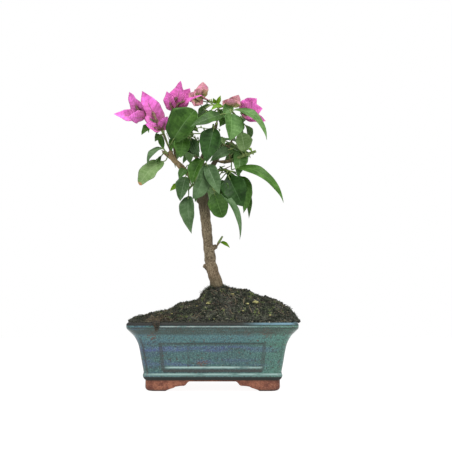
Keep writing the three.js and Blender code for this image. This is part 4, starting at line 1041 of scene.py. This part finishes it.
class Mass:
    """One mass of foliage: its stem at a place on a limb, its leaves and blooms, and the shoots that fill
    its room. shoots holds their number, their length and their leaves' length, and room its middle and
    radii."""

    def __init__(
            self, name, limb, at, stem, leaves, blooms=(), shoots=(0, 0, 0), room=(0, 1), seed=0,
            start=None, stem_radii=(0.7, 1.2, 0.8)):
        self.name, self.limb, self.at, self.blooms = name, LIMBS[limb], at, blooms
        self.shoots, self.room, self.random = shoots, room, seeded(seed)
        self.stem = Limb([self.stem_foot(stem[0]) if start is None else start, *stem], stem_radii)
        self.stem_points = self.stem.path(12)
        self.blades = leaves + [blade for bracts in blooms for blade in bracts]
        self.points = np.concatenate([blade.points() for blade in self.blades])
        self.twigs = []

    def stem_foot(self, toward):
        """Just clear of the limb's end, or of its side."""
        centre, direction = self.limb.at(self.at), self.limb.heading(self.at)
        if self.at == 1:
            return centre + direction * CLEARANCE
        away = toward - centre
        away = unit(away - direction * (away @ direction))
        return centre + away * (self.limb.radius(self.at) + CLEARANCE + 0.2)

    def nearest(self, point):
        """The place on the stem that is nearest to a point."""
        places = [self.stem.at(0.06 + 0.94 * k / 24) for k in range(25)]
        return min(places, key=lambda spot: float(np.linalg.norm(spot - point)))

    def clear_of_others(self, points):
        return all(
            other is self or spacing(points, np.concatenate([other.points, other.stem_points])) > KEEP_CLEAR
            for other in MASSES)

    def grow_shoot(self, index):
        """One shoot: a twig that leaves the stem by the golden turn, with leaves on alternate sides."""
        random, (middle, radii), (shoots, shoot_length, leaf_length) = self.random, self.room, self.shoots
        t = 0.3 + 0.7 * (index + 0.5) / shoots
        start, forward = self.stem.at(t), self.stem.heading(t)
        around = unit(np.array((0, 0, 1)) - forward * forward[2])
        around = turned(around, forward, index * GOLDEN_TURN + next(random))
        pull = unit(np.array(middle) - start)
        heading = unit(around + forward * 0.4 + pull * 0.9)
        length = shoot_length * (0.75 + 0.5 * next(random))
        end = start + heading * length
        bend = start + heading * length * 0.5 + (0, 0, length * 0.1)
        if not self.clear_of_others([bend, end]) or not clear_of_limbs(end):
            return
        twig = Limb([start, bend, end], [0.8, 0.6])
        leaves = []
        for k in range(3):
            sideways = unit((-heading[1], heading[0], 0)) * (1 if k % 2 else -1)
            out = heading * (1.2 if k == 2 else 0.45) + sideways * (0.15 if k == 2 else 0.9)
            out[2] -= 0.25 + 0.8 * next(random)
            size = leaf_length * (0.75 + 0.5 * next(random))
            width = size * (0.5 + 0.14 * next(random))
            tint = ("dark", "mid", "dark", "light")[(index + k) % 4]
            foot = twig.at(0.4 + 0.55 * k / 2)
            blade = Blade(foot, unit(out) * size, width, None, tint, 20 + 40 * next(random), kind="filler")
            points = blade.points()
            inside = (((points[-1] - middle) / radii) ** 2).sum() < 1
            if inside and clear_of_limbs(points) and self.clear_of_others(points):
                leaves.append((blade, points))
        if leaves:
            self.twigs.append(twig)
            self.blades += [blade for blade, _ in leaves]
            self.points = np.concatenate([self.points, *(points for _, points in leaves)])


MASSES = [
    Mass("foliage_left_low", "bough_left", 0.86, [(-41.5, -8, 211.5), (-43.5, -9.5, 214)], [
        Blade((-44.5, -9, 204.5), (-21.5, -6, -22), 19, (-0.4, -0.8, 0.45), "grey", 64, 0.9, 0.1),
        Blade((-45, -10, 216), (-14, -5, -15.5), 9.5, (-0.45, -0.65, 0.6), "dull", 110, 0, 0.15),
    ], shoots=(2, 8, 13), room=((-46, -2, 205), (17, 22, 20)), seed=1101),
    Mass("foliage_left_high", "bough_left", 1,
        [(-41.5, -7, 221), (-44, -8, 227.5), (-46, -9, 232), (-52, -8, 239.5), (-60.5, -6, 245.5)], [
        Blade((-57, -5, 238), (-8, -2, -9.5), 8, (-0.3, -0.9, 0.3)),
        Blade((-46.5, -9, 228), (-6, -4, -6), 8, (-0.3, -0.9, 0.3), "dark", 30),
        Blade((-47.5, -5, 228), (3, -2, -13.5), 6.5, (-0.2, -1, 0)),
    ], [
        bloom((-60.5, -6, 245.5), [
            ((-29.5, -2, 2), 13, (0, -1, 0.3), -20),
            ((-16, 5, 23), 15, (-0.75, -0.65, 0), 34),
            ((-16, -9, -1.5), 14, (0, 0.8, 0.5), -45),
        ], "bright"),
        bloom((-46.5, -11, 232.5), [
            ((-18, 7, 36.5), 20, (-0.1, -1, 0.1), -25),
            ((-14.5, -7, 5), 10, (-0.2, -0.9, 0.5), -20),
            ((5.5, -6, 12), 12, (0.3, -1, 0), -25),
        ], "bright"),
    ], shoots=(2, 8, 12), room=((-52, 4, 238), (16, 20, 16)), seed=1207),
    Mass("foliage_top_left", "bough_left", 0.7,
        [(-35, -1, 213), (-35.5, -1.5, 224), (-34, -2.5, 238), (-35, -4.5, 250.5)], [
        Blade((-36.5, -14, 222), (20.5, -4, 28), 30.5, (-0.15, -1, 0.35), "dark", 36, 1),
        Blade((-26.5, -12, 226), (-2.5, -5, -19), 17, (0, -1, 0.3), "mid", 30, 0.35),
        Blade((-20, -4, 226.5), (-0.5, -1, -15.5), 9, (-0.2, -1, 0.2), "dull"),
        Blade((-36.5, -9, 226), (-1, -2, -13), 6.5, (-0.2, -1, 0.2)),
        Blade((-18, -6, 227), (-6, -3, 5), 5.5, (-0.2, -1, 0.3), "grey"),
    ], [
        bloom((-35.5, -4.5, 250.5), [
            ((6, 2.5, 28), 18, (-0.6, -0.8, 0), -20),
            ((-6.5, -1.5, 18), 12, (-0.5, -0.8, 0.3), 20),
            ((14.5, 4.5, 21.5), 17, (-0.2, -1, 0.2), -20),
            ((26, -9.5, 13.5), 9, (-0.2, -0.5, 0.8), 20),
        ], "deep"),
    ], shoots=(4, 12, 20), room=((-27, 10, 232), (18, 22, 20)), seed=1303),
    Mass("foliage_top", "bough_leader", 1, [(4.5, -4, 246), (5, -4, 252), (2.5, -3, 258.5)], [
        Blade((9, -15, 246.5), (-29.5, -19, -13.5), 13.5, (-0.2, -0.9, 0.4), "dark", 24, 0, 0.15),
        Blade((15, -8, 256), (-5.5, -6, -13), 11, (0.2, -1, 0.1), "light", 30),
        Blade((9, -7, 254.5), (-11, -4, -4), 7, (-0.1, -0.7, 0.7), "young", 60),
        Blade((2.5, -3, 257.5), (-2.5, -2, 5), 4, (-0.3, -1, 0.3), "young"),
        Blade((3.5, -3, 257), (3.5, -1, 8), 4.5, (0.3, -1, 0.3), "young"),
    ], [
        bloom((-9.5, -3, 262.5), [
            ((0.5, 1, 15), 13, (-0.3, -0.95, 0.1), 16),
            ((-7.5, -3, 7.5), 12, (-0.2, -0.95, 0.3), -20),
            ((4, -9, -1.5), 11, (0, 0.7, 0.7), -30),
        ], "faded"),
        bloom((-14.5, -4, 261), [
            ((-7.5, -3, 5.5), 12, (-0.1, -1, 0.2), -20),
            ((-2.5, -4, -6.5), 12, (0, -1, -0.2), -20),
            ((5, -4, -5), 9, (0.2, -1, 0), -20),
        ], "faded"),
        bloom((17, -8, 253.5), [
            ((6.5, 1, 11.5), 12, (0.3, -0.95, 0.1), -20),
            ((-8.5, -3, 5.5), 13, (-0.3, -0.9, 0.3), -20),
            ((-1, -9, 7), 12, (0, 0.7, 0.7), -30),
        ], "faded"),
    ], shoots=(3, 10, 17), room=((2, 12, 243), (18, 20, 16)), seed=1409),
    Mass("foliage_right_high", "bough_right", 1,
        [(18, -2, 226), (21, -5, 235), (24, -7, 243), (30.5, -5, 246)], [
        Blade((16, -19, 247), (-1, -6, -25.5), 24, (0.6, -0.8, 0.1), "light", 34, 0.25),
        Blade((17.5, -11, 250.5), (31, -8, -28), 12.5, (0.5, -0.65, 0.58), "light", 108, 0, 0.12),
        Blade((29, -10, 213.5), (-3.5, -4, 16.5), 16.5, (0.15, -1, 0.1), "grey", 20, 1),
        Blade((12, -6, 244), (-6, -3, -8.5), 8, (-0.2, -1, 0.2), "dark", 24),
    ], [
        bloom((25, -5, 249), [
            ((15, 4, 13.5), 16, (0.1, -1, 0.1), -20),
            ((20, -3, 3.5), 19, (0.1, -1, 0.2), -20),
            ((23, 1, -7.5), 12, (0.3, -0.9, 0.2), -20),
        ], "deep"),
    ], shoots=(3, 10, 18), room=((24, 10, 232), (17, 20, 18)), seed=1511),
    Mass("foliage_right", "bough_right", 0.42,
        [(9, -2.5, 204.5), (17, -5, 205.5), (28, -6.5, 210), (39, -7.5, 213.8)], [
        Blade((19, -9, 197.5), (44.5, -12, -31.5), 14, (0.42, -0.7, 0.58), "mid", 106, 0, 0.1),
        Blade((25.5, -1, 214.5), (-3, -14, -25), 15, (0.1, -1, 0.1), "light", 16),
        Blade((16.5, -2, 206), (15.5, -2, 6.5), 9, (0, -0.8, 0.6), "dark", 24),
        Blade((35.5, -8, 213.5), (-4, -4, 2), 5, (0, -0.8, 0.6), "young"),
    ], shoots=(3, 12, 19), room=((20, 12, 206), (14.5, 18, 14)), seed=1613,
        stem_radii=[0.8, 1.5, 1.7, 1.5, 1.2]),
    Mass("foliage_centre", "bough_leader", 0.72, [(-2.5, -9, 229), (0, -17, 234), (0.5, -23, 236.5)], [
        Blade((1, -23, 233), (-6.5, -7, -31), 21, (-0.15, -1, 0.1), "deep", 30, 0.3),
        Blade((15, -14, 215), (-18, -7, -12), 11, (0.1, -0.9, 0.4), "dull", 34),
        Blade((-20, -12.5, 224), (8, -4, -17), 11, (-0.3, -0.95, 0.1), "dull", 30),
        Blade((6.5, -19, 226), (4.5, -3, -8.5), 5, (0.2, -1, 0.2), "grey"),
        Blade((-12, -13.5, 208), (-17.5, -2, 4.5), 10, (0, -0.4, 0.9), "dark", 30),
    ], shoots=(2, 8, 16), room=((-4, -14, 220), (14, 14, 16)), seed=1709),
    Mass("foliage_centre_low", "trunk", 0.97, [(-8.5, -12, 200), (-6, -22, 202)], [
        Blade((-6, -25, 199.5), (-11.5, -9, -30), 18, (0.5, -0.85, -0.1), "dull", 46, 0.8),
        Blade((-5.5, -25, 200.5), (11.5, -9, -27.5), 15, (0.1, -1, 0.2), "dull", 34, 0.2),
    ], shoots=(0, 8, 16), room=((-4, -20, 190), (14, 14, 16)), seed=1801),
    Mass("foliage_right_low", "trunk", 0.93, [(0, -4.5, 194), (8, -9, 196.5), (17, -14, 195)], [
        Blade((14.5, -16, 189.5), (12.5, -8, -26.5), 25, (-0.2, -1, 0.25), "deep", 36, 0.45),
        Blade((24.5, -12, 191), (3, -5, -34), 16, (0.5, -0.85, 0.2), "mid", 60),
        Blade((6, -15, 187), (7, -8, -20), 12, (0, -1, 0.2), "dark", 26),
        Blade((5.5, -20, 176), (18.5, -8, -43), 8.2, (0.55, -0.72, 0.3), "dull", 96, 0, 0.15),
        Blade((1.5, -17, 175), (7.5, -6, -22), 19.5, (-0.1, -1, 0.15), "mid", 26, 0.95),
        Blade((30, -8, 180.5), (2.5, -2, -28), 7, (0.4, -0.9, 0), "dark", 36),
    ], shoots=(2, 8, 18), room=((16, -2, 184), (15, 18, 16)), seed=1907),
    Mass("foliage_left_bottom", "trunk", 0.86, [(-18, -6.5, 183), (-22, -10, 179)], [
        Blade((-22, -12, 173), (3, -7, -34.5), 16, (-0.35, -0.95, 0.1), "dull", 50),
        Blade((-24.5, -12, 190.5), (-5, -5, -22.5), 14, (-0.2, -1, 0.15), "dull", 30, 0.3),
        Blade((-9, -12, 206.5), (-9.5, -8, -24), 16, (-0.5, -0.85, 0.1), "mid", 60, 0.2),
        Blade((-31.5, -4, 184), (-7.5, -2, -6.5), 5.5, (-0.2, -1, 0.2), "young", 30),
        Blade((-25, -7, 198), (-6, -4, -9.5), 9, (-0.2, -1, 0.1), "light", 24),
    ], shoots=(2, 8, 17), room=((-24, 2, 183), (14, 16, 15)), seed=2003),
    Mass("foliage_back_left", "bough_back", 1, [(-18, 28, 220), (-22, 31, 227)], [
        Blade((-22, 31, 227), (-8, 10, -14), 15, None, "dark", 40),
    ], [
        bloom((-31, 32, 240), [
            ((-7, 3, 14), 13, (0.3, 0.9, 0.3), -20),
            ((7, 5, 13), 13, (-0.3, 0.9, 0.3), -20),
            ((-1, 16, 6), 14, (0, -0.4, 0.9), -20),
        ]),
    ], shoots=(7, 14, 21), room=((-22, 28, 216), (21, 21, 24)), seed=2111),
    Mass("foliage_back_right", "bough_right", 0.62, [(7, 11, 214), (11, 19, 218), (14, 26, 222)], [
        Blade((14, 26, 222), (8, 12, -12), 15, None, "dark", 40),
    ], [
        bloom((-1, 30, 221), [
            ((-4, 5, 8), 9, (0.3, 0.9, 0.3), -20),
            ((4, 5, 8), 9, (-0.3, 0.9, 0.3), -20),
            ((0, 12, 3), 10, (0, -0.4, 0.9), -20),
        ]),
    ], shoots=(7, 14, 21), room=((14, 28, 214), (20, 21, 23)), seed=2203),
    Mass("foliage_back_low", "trunk", 0.88, [(-9.5, 11, 189), (-8, 18, 190)], [
        Blade((-8, 20, 189), (-2, 16, -14), 15, None, "dark", 40),
    ], shoots=(6, 12, 20), room=((-5, 24, 182), (22, 19, 18)), seed=2309),
    Mass("trunk_sprout", "trunk", None, [(5.2, -3, 131), (8.7, -3.5, 136.8)], [
        Blade((6.6, -3.2, 131.4), (8.8, -2, -5.2), 5, (0.2, -0.7, 0.7), "young", 36),
    ], start=(3.6, -2.3, 127.9)),
]


for mass in MASSES:
    for index in range(mass.shoots[0]):
        mass.grow_shoot(index)

# Leaves
# Thin satin leaves, folded up along a pale midrib, with sunken side veins that run forward to a wavy margin,
# and a pointed tip. Old leaves are dark, new ones yellow-green, and the deep and dark tints also paint the
# shade on leaves inside the crown. Each is clouded lighter and darker, with paler lines along its veins, and
# lighter towards its tip as a painted sheen.
COLUMNS = np.array([-1, -0.84, -0.66, -0.5, -0.34, -0.18, -0.03, 0.03, 0.18, 0.34, 0.5, 0.66, 0.84, 1])
SHADES = 6
UNEVEN_EDGE = 0.045
LARGE_LEAF = 12


def blade_mesh(blade, rows, veins, thickness, groove, wave, phase):
    """A closed thin blade whose rows of faces follow its side veins. With its points and faces come the
    place of each face along the blade and across it, and whether it is on the upper side."""
    # s is a row's place on the midrib, v goes from -1 to 1 across it, and t is each point's along it.
    s = np.linspace(0, 1, rows + 1)[1:-1, None]
    v = COLUMNS[None, :]
    t = s + 0.2 * np.abs(v) ** 1.2 * (1 - s) * np.minimum(1, s / 0.12)
    point, normal = blade.spine(t)
    uneven = 1 + UNEVEN_EDGE * np.sin(2 * pi * (1.6 * t + 2 * phase) + 2.2 * np.sign(v))
    uneven = uneven + 0.4 * UNEVEN_EDGE * np.sin(2 * pi * (4.3 * t - phase) - 1.3 * np.sign(v))
    half = blade.half_width(t) * uneven
    cup = np.abs(v) * 0.6 + v**2 * 0.4
    vein = 0.5 + 0.5 * np.cos(2 * pi * veins * s)
    relief = -groove * vein**2 * (1 - np.abs(v) ** 3) * (np.abs(v) > 0.06)
    ripple = wave * half * np.abs(v) ** 3 * np.sin(2 * pi * (2.3 * t + phase) + 1.7 * np.sign(v))
    lift = half * sin(blade.fold) * cup + relief + ripple
    top = point + blade.side * (half * v * cos(blade.fold))[..., None] + normal * lift[..., None]
    under = top - normal * (thickness * (1 - v**6))[..., None]
    rings = np.concatenate([top, under[:, -2:0:-1]], axis=1)
    size = rings.shape[1]
    points = np.concatenate([blade.spine([0])[0], rings.reshape(-1, 3), blade.spine([1])[0]])
    faces = [face[::-1] for face in stacked_rings(rows - 1, size)]
    row, column = np.divmod(np.arange(len(faces)), size)
    between = (COLUMNS[:-1] + COLUMNS[1:]) / 2
    across = np.concatenate([between, between[::-1]])[column]
    return points, faces, (row + 0.5) / rows, across, column < len(between)


def mottled(points, faces, size, phase):
    """Cloudy values from about -1 to 1, one for each face."""
    middles = points[[face[0] for face in faces]]
    return np.array([noise.noise(Vector(m / size) + Vector((phase * 9, 3, 5))) for m in middles]) * 1.6


def shade_finishes(name, low, high, *look):
    """Close shades from low to high, which the faces of a blade take by turns."""
    low, high = np.array(low), np.array(high)
    shades = [low + (high - low) * k / (SHADES - 1) for k in range(SHADES)]
    return [plain_finish(f"{name}_{k + 1}", shade, shade + (high - low) / SHADES, 1.6, *look)
            for k, shade in enumerate(shades)]


def shade_places(first, value):
    return first + np.clip(np.floor(value), 0, SHADES - 1).astype(int)


# The deep and dark tints are the leaves' own darker green and also painted shade for leaves in the crown's
# shadow
LEAF_TINTS = {
    "deep": ((20, 46, 10), (50, 84, 36)),
    "dark": ((32, 62, 12), (66, 102, 38)),
    "mid": ((44, 80, 18), (82, 122, 52)),
    "dull": ((52, 80, 42), (92, 120, 80)),
    "light": ((60, 98, 40), (108, 146, 84)),
    "young": ((76, 118, 10), (122, 158, 40)),
    "grey": ((88, 118, 62), (130, 156, 104)),
}
leaf_materials = []
for tint, (low, high) in LEAF_TINTS.items():
    name, rib = f"leaf_{tint}", [channel + 3 for channel in high]
    leaf_materials += shade_finishes(name, low, high, 0.45, 0.14 if tint == "deep" else 0.2)
    leaf_materials.append(plain_finish(name + "_rib", high, rib, 4, 0.5))
    leaf_materials.append(plain_finish(name + "_underside", high, rib, 5, 0.6))
WITHERED = len(leaf_materials)
leaf_materials.append(plain_finish("leaf_withered_tip", (150, 108, 62), (186, 150, 100), 2, 0.7))


def leaf_finishes(blade, points, faces, along, across, upper, veins, phase):
    """The finish of each face of a leaf: one of the shades, the rib or the underside."""
    first = (SHADES + 2) * list(LEAF_TINTS).index(blade.tint)
    on_vein = np.cos(2 * pi * veins * along) > 0.55
    value = 2.3 + 2.4 * mottled(points, faces, 9, phase) + 0.8 * mottled(points, faces, 2.2, phase)
    # Lighter towards the tip and darker at the foot: painted sheen and shade; lighter along the veins and at
    # the margin
    value = value + 0.8 * on_vein * (np.abs(across) < 0.8) + 2 * (along - 0.4) + 1.6 * (np.abs(across) > 0.85)
    finish = shade_places(first, value)
    finish[~upper] = first + SHADES + 1
    finish[np.abs(across) < 0.03] = first + SHADES
    if blade.tint == "grey" and blade.length > 20:
        finish[along + 0.03 * mottled(points, faces, 1.5, phase) > 0.93] = WITHERED
    return finish.tolist()


leading, filling = JoinedMesh(), JoinedMesh()
chance = seeded(4242)
for mass in MASSES:
    for blade in mass.blades:
        if blade.kind == "bract":
            continue
        large = blade.kind == "leaf" and blade.length > LARGE_LEAF
        rows, veins, groove = (42, 7, 0.14) if large else (20, 5, 0.08)
        phase = pick(0, 1)
        points, faces, *faced = blade_mesh(blade, rows, veins, 0.28, groove, pick(0.04, 0.1), phase)
        finish = leaf_finishes(blade, points, faces, *faced, veins, phase)
        (leading if large else filling).add(points, faces, finish)
for name, joined in (("leading_leaves", leading), ("filling_leaves", filling)):
    piece = joined.made(name, leaf_materials)
    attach(piece, "root")
    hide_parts(*(mass.name for mass in MASSES))

# Blooms
# Each bloom is three or four papery magenta bracts with darker side veins, dusky towards the foot and along
# the midrib; their darker foot and middle are partly painted shade where they cup together. They stand round
# slim closed flower tubes, each fixed to a bract's midrib.
BRACT_TINTS = {
    "bright": ((150, 74, 112), (230, 116, 204), (112, 92, 56)),
    "pink": ((150, 78, 110), (224, 118, 190), (118, 96, 58)),
    "deep": ((152, 74, 112), (222, 108, 190), (112, 88, 56)),
    "faded": ((146, 132, 84), (212, 140, 164), (116, 124, 58)),
}
bract_materials = []
for tint, (low, high, belly) in BRACT_TINTS.items():
    bract_materials += shade_finishes(f"bract_{tint}", low, high, 0.55, 0.25)
    dusk = [0.6 * a + 0.4 * b for a, b in zip(belly, low)]
    bract_materials.append(plain_finish(f"bract_{tint}_belly", belly, dusk, 2.5, 0.6))
BRACT_MIDRIB = len(bract_materials)
bract_materials.append(plain_finish("bract_midrib", (104, 88, 52), (132, 104, 70), 3, 0.6))


def bract_finishes(blade, points, faces, along, across, veins, phase):
    """The finish of each face of a bract: one of the shades, the dusky belly or the midrib."""
    first = (SHADES + 1) * list(BRACT_TINTS).index(blade.tint)
    power, dusk_reach = (1.8, 0.36) if blade.tint == "faded" else (1, 0.16)
    # Brighter towards the tip and the edges, darker towards the foot and the middle: partly the bracts' own
    # colour, partly painted shade where they cup
    value = 0.7 + 4 * np.clip(along * 1.5 + np.abs(across) * 0.3, 0, 1) ** power
    value = value + 1.3 * mottled(points, faces, 6, phase) + 0.5 * mottled(points, faces, 1.8, phase)
    finish = shade_places(first, value - 0.9 * (np.cos(2 * pi * veins * along) > 0.7))
    dusky = mottled(points, faces, 2.5, phase) * 0.25 + along + np.abs(across) * 0.25 < dusk_reach
    finish[dusky] = first + SHADES
    finish[(np.abs(across) < 0.03) & (along < 0.7)] = BRACT_MIDRIB
    return finish.tolist()


bracts, tubes = JoinedMesh(), JoinedMesh()
LARGE_BRACT = 11
FLOWER_TUBE_SHAPE = np.array((0.5, 0.9, 1.1, 1.0, 0.8, 0.75, 0.9, 1.15, 0.6))
for blade in (bract for mass in MASSES for flower in mass.blooms for bract in flower):
    rows, veins = (40, 8) if blade.length > LARGE_BRACT else (20, 5)
    phase = pick(0, 1)
    points, faces, along, across, _ = blade_mesh(blade, rows, veins, 0.16, 0.1, pick(0.1, 0.2), phase)
    bracts.add(points, faces, bract_finishes(blade, points, faces, along, across, veins, phase))
    root, _ = blade.spine(0.04)
    tip, facing = blade.spine(0.46)
    tip = tip + facing * blade.length * 0.06
    middle = (root + tip) / 2 + facing * blade.length * 0.07
    width = max(0.5, blade.length * 0.04)
    tubes.add(*tube(Limb([root, middle, tip], []).path(8), width * FLOWER_TUBE_SHAPE, 8), 0)
skin = plain_finish("flower_tube_skin", (84, 56, 50), (122, 92, 70), 2.5, 0.6)
for piece in (bracts.made("bracts", bract_materials), tubes.made("flower_tubes", [skin])):
    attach(piece, "root")
    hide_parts(*(mass.name for mass in MASSES if mass.blooms))

# Twigs and stalks
# Young wood that carries the leaves: round, brown below and green above, with a stalk to each leaf
# and bloom that stands off it, a few bare twigs and thorns, and closed buds.
twigs = JoinedMesh()
YOUNG_BARK, GREEN_STALK, BLOOM_STALK, BUD = range(4)
TWIG_RADII = [0.7 - 0.03 * k for k in range(9)]
STALK_RADII = [0.6 - 0.015 * k for k in range(13)]
BLOOM_STALK_RADII = [0.62, 0.58, 0.55, 0.52, 0.5, 0.5, 0.52, 0.6, 0.7]
for mass in MASSES:
    steps = 6 * (len(mass.stem.points) - 1)
    path = mass.stem.path(steps)
    radii = [mass.stem.radius(k / steps) for k in range(steps + 1)]
    if mass.at is not None:
        path = np.concatenate([[mass.limb.at(min(mass.at, 0.97))], path])
        radii = [radii[0] * 1.25, radii[0] * 1.25, *radii[1:]]
    points, faces = tube(path, [max(0.75, radius) for radius in radii], 8)
    lower = len(faces) // 2
    twigs.add(points, faces, [YOUNG_BARK] * lower + [GREEN_STALK] * (len(faces) - lower))
    for twig in mass.twigs:
        twigs.add(*tube(twig.path(8), TWIG_RADII, 6), GREEN_STALK)
    for blade in mass.blades:
        start = mass.nearest(blade.foot)
        run = float(np.linalg.norm(blade.foot - start))
        if blade.kind == "leaf" and run >= 0.8:
            ahead = blade.spine(0.1)[0]
            back = blade.foot - unit(ahead - blade.foot) * run * 0.3
            stalk = Limb([start, (start + back) / 2 + (0, 0, run * 0.04), back, blade.foot, ahead], [])
            twigs.add(*tube(stalk.path(12), STALK_RADII, 6), GREEN_STALK)
    for flower in mass.blooms:
        foot = flower[0].foot
        start = mass.nearest(foot)
        run = float(np.linalg.norm(foot - start))
        if run > 0.8:
            stalk = Limb([start, (start + foot) / 2 - (0, 0, run * 0.04), foot], [])
            twigs.add(*tube(stalk.path(8), BLOOM_STALK_RADII, 6), BLOOM_STALK)

# Small bare twigs, thorns and stalks that show in the gaps of the crown: their places, radius at the
# foot and whether they are brown (0) or green (1)
FINE_TWIGS = [
    ([(0.9, -4, 194.1), (8.2, -5, 196.8), (16.3, -5, 200.6)], 0.75, 0),
    ([(8.2, -3, 194.3), (13, -4, 195.6), (18.6, -5, 196)], 0.5, 1),
    ([(-18.4, -8, 226.5), (-18.7, -8, 230), (-18.2, -8.5, 234.5)], 0.45, 1),
    ([(-27.5, -7, 227.5), (-25.8, -7.5, 230), (-24.4, -8, 232.4)], 0.45, 1),
    ([(-19, -8, 233.4), (-12, -8, 235.2), (-4, -8, 234), (2, -7.5, 235.6), (6.2, -7, 232.8)], 0.45, 1),
    ([(-18.4, -8, 226.8), (-13.4, -8, 225.2)], 0.4, 1),
    ([(-24.6, -7, 226), (-22.4, -7.5, 229), (-21.8, -8, 231)], 0.4, 1),
    ([(-40.6, -8.5, 218), (-42.6, -10, 226), (-45.4, -11, 232.5)], 0.55, 1),
    ([(-38.8, -7.5, 216), (-39.4, -9, 223), (-42.2, -10, 230)], 0.5, 1),
    ([(-4.2, -6, 248), (-8.6, -5, 253), (-12.7, -4, 257.8)], 0.6, 1),
    ([(3, -4.5, 255), (-1.6, -5, 257.6), (-8.6, -5.5, 262.4)], 0.85, 1),
    ([(8.2, -4, 220.4), (12, -4.5, 219.4), (15.6, -4, 217)], 0.9, 0),
    ([(14, -2, 212.6), (15.6, -3, 209), (16.4, -4, 206)], 0.8, 0),
    ([(33.4, -4.5, 209.6), (33.8, -5, 207.6)], 0.45, 0),
    ([(27.5, -4, 207), (28.4, -4.6, 209.2)], 0.45, 0),
    ([(-33.4, -6, 203), (-34.6, -8, 200.4)], 0.45, 0),
    ([(-38, -6, 212), (-35.6, -8, 214)], 0.5, 0),
    ([(-45, -6.5, 213.4), (-46.6, -7, 214.6)], 0.8, 0),
]
for places, radius, finish in FINE_TWIGS:
    path = Limb(places, []).path(8)
    twigs.add(*tube(path, [radius * (1 - 0.07 * k) for k in range(9)], 6), finish)

# Closed leaf buds at the shoot ends and in the forks
LEAF_BUDS = [
    (13.6, -5, 192.4, 1.3), (3.2, -8, 238.6, 1.2), (0.6, -8, 236.4, 1.0), (-13.6, -8, 225.4, 1.2),
    (-16.4, -8, 227, 0.9), (36.4, -6, 211.8, 1.1), (38.4, -6, 213.4, 0.9), (6, -7, 233, 1.1),
    (-21.8, -8, 231.6, 0.9), (-18.2, -8.5, 235, 0.9), (-17.1, -8, 234.9, 1.1), (-14.4, -8, 233.8, 1.2),
    (-10.8, -8, 235.9, 1.0), (-8.1, -8, 233.9, 1.1), (9.8, -5, 221.6, 1.2), (16.6, -4, 216.4, 1.0),
    (-46, -7, 216.4, 0.9), (-1.6, -5, 260.4, 1.1), (-5.4, -5, 257.4, 1.0),
]
for *spot, size in LEAF_BUDS:
    twigs.add(BALL * size * (0.7, 0.6, 1.3) + np.array(spot), BALL_FACES, BUD)
twig_piece = twigs.made("twigs_and_stalks", [
    plain_finish("young_bark", (92, 84, 56), (126, 112, 78), 3),
    plain_finish("green_stalk", (92, 116, 56), (128, 146, 82), 3, 0.6),
    plain_finish("bloom_stalk", (86, 110, 50), (120, 138, 74), 3, 0.6),
    plain_finish("leaf_bud", (104, 132, 48), (146, 166, 80), 2, 0.6),
])
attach(twig_piece, "root")
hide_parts(*(mass.name for mass in MASSES))
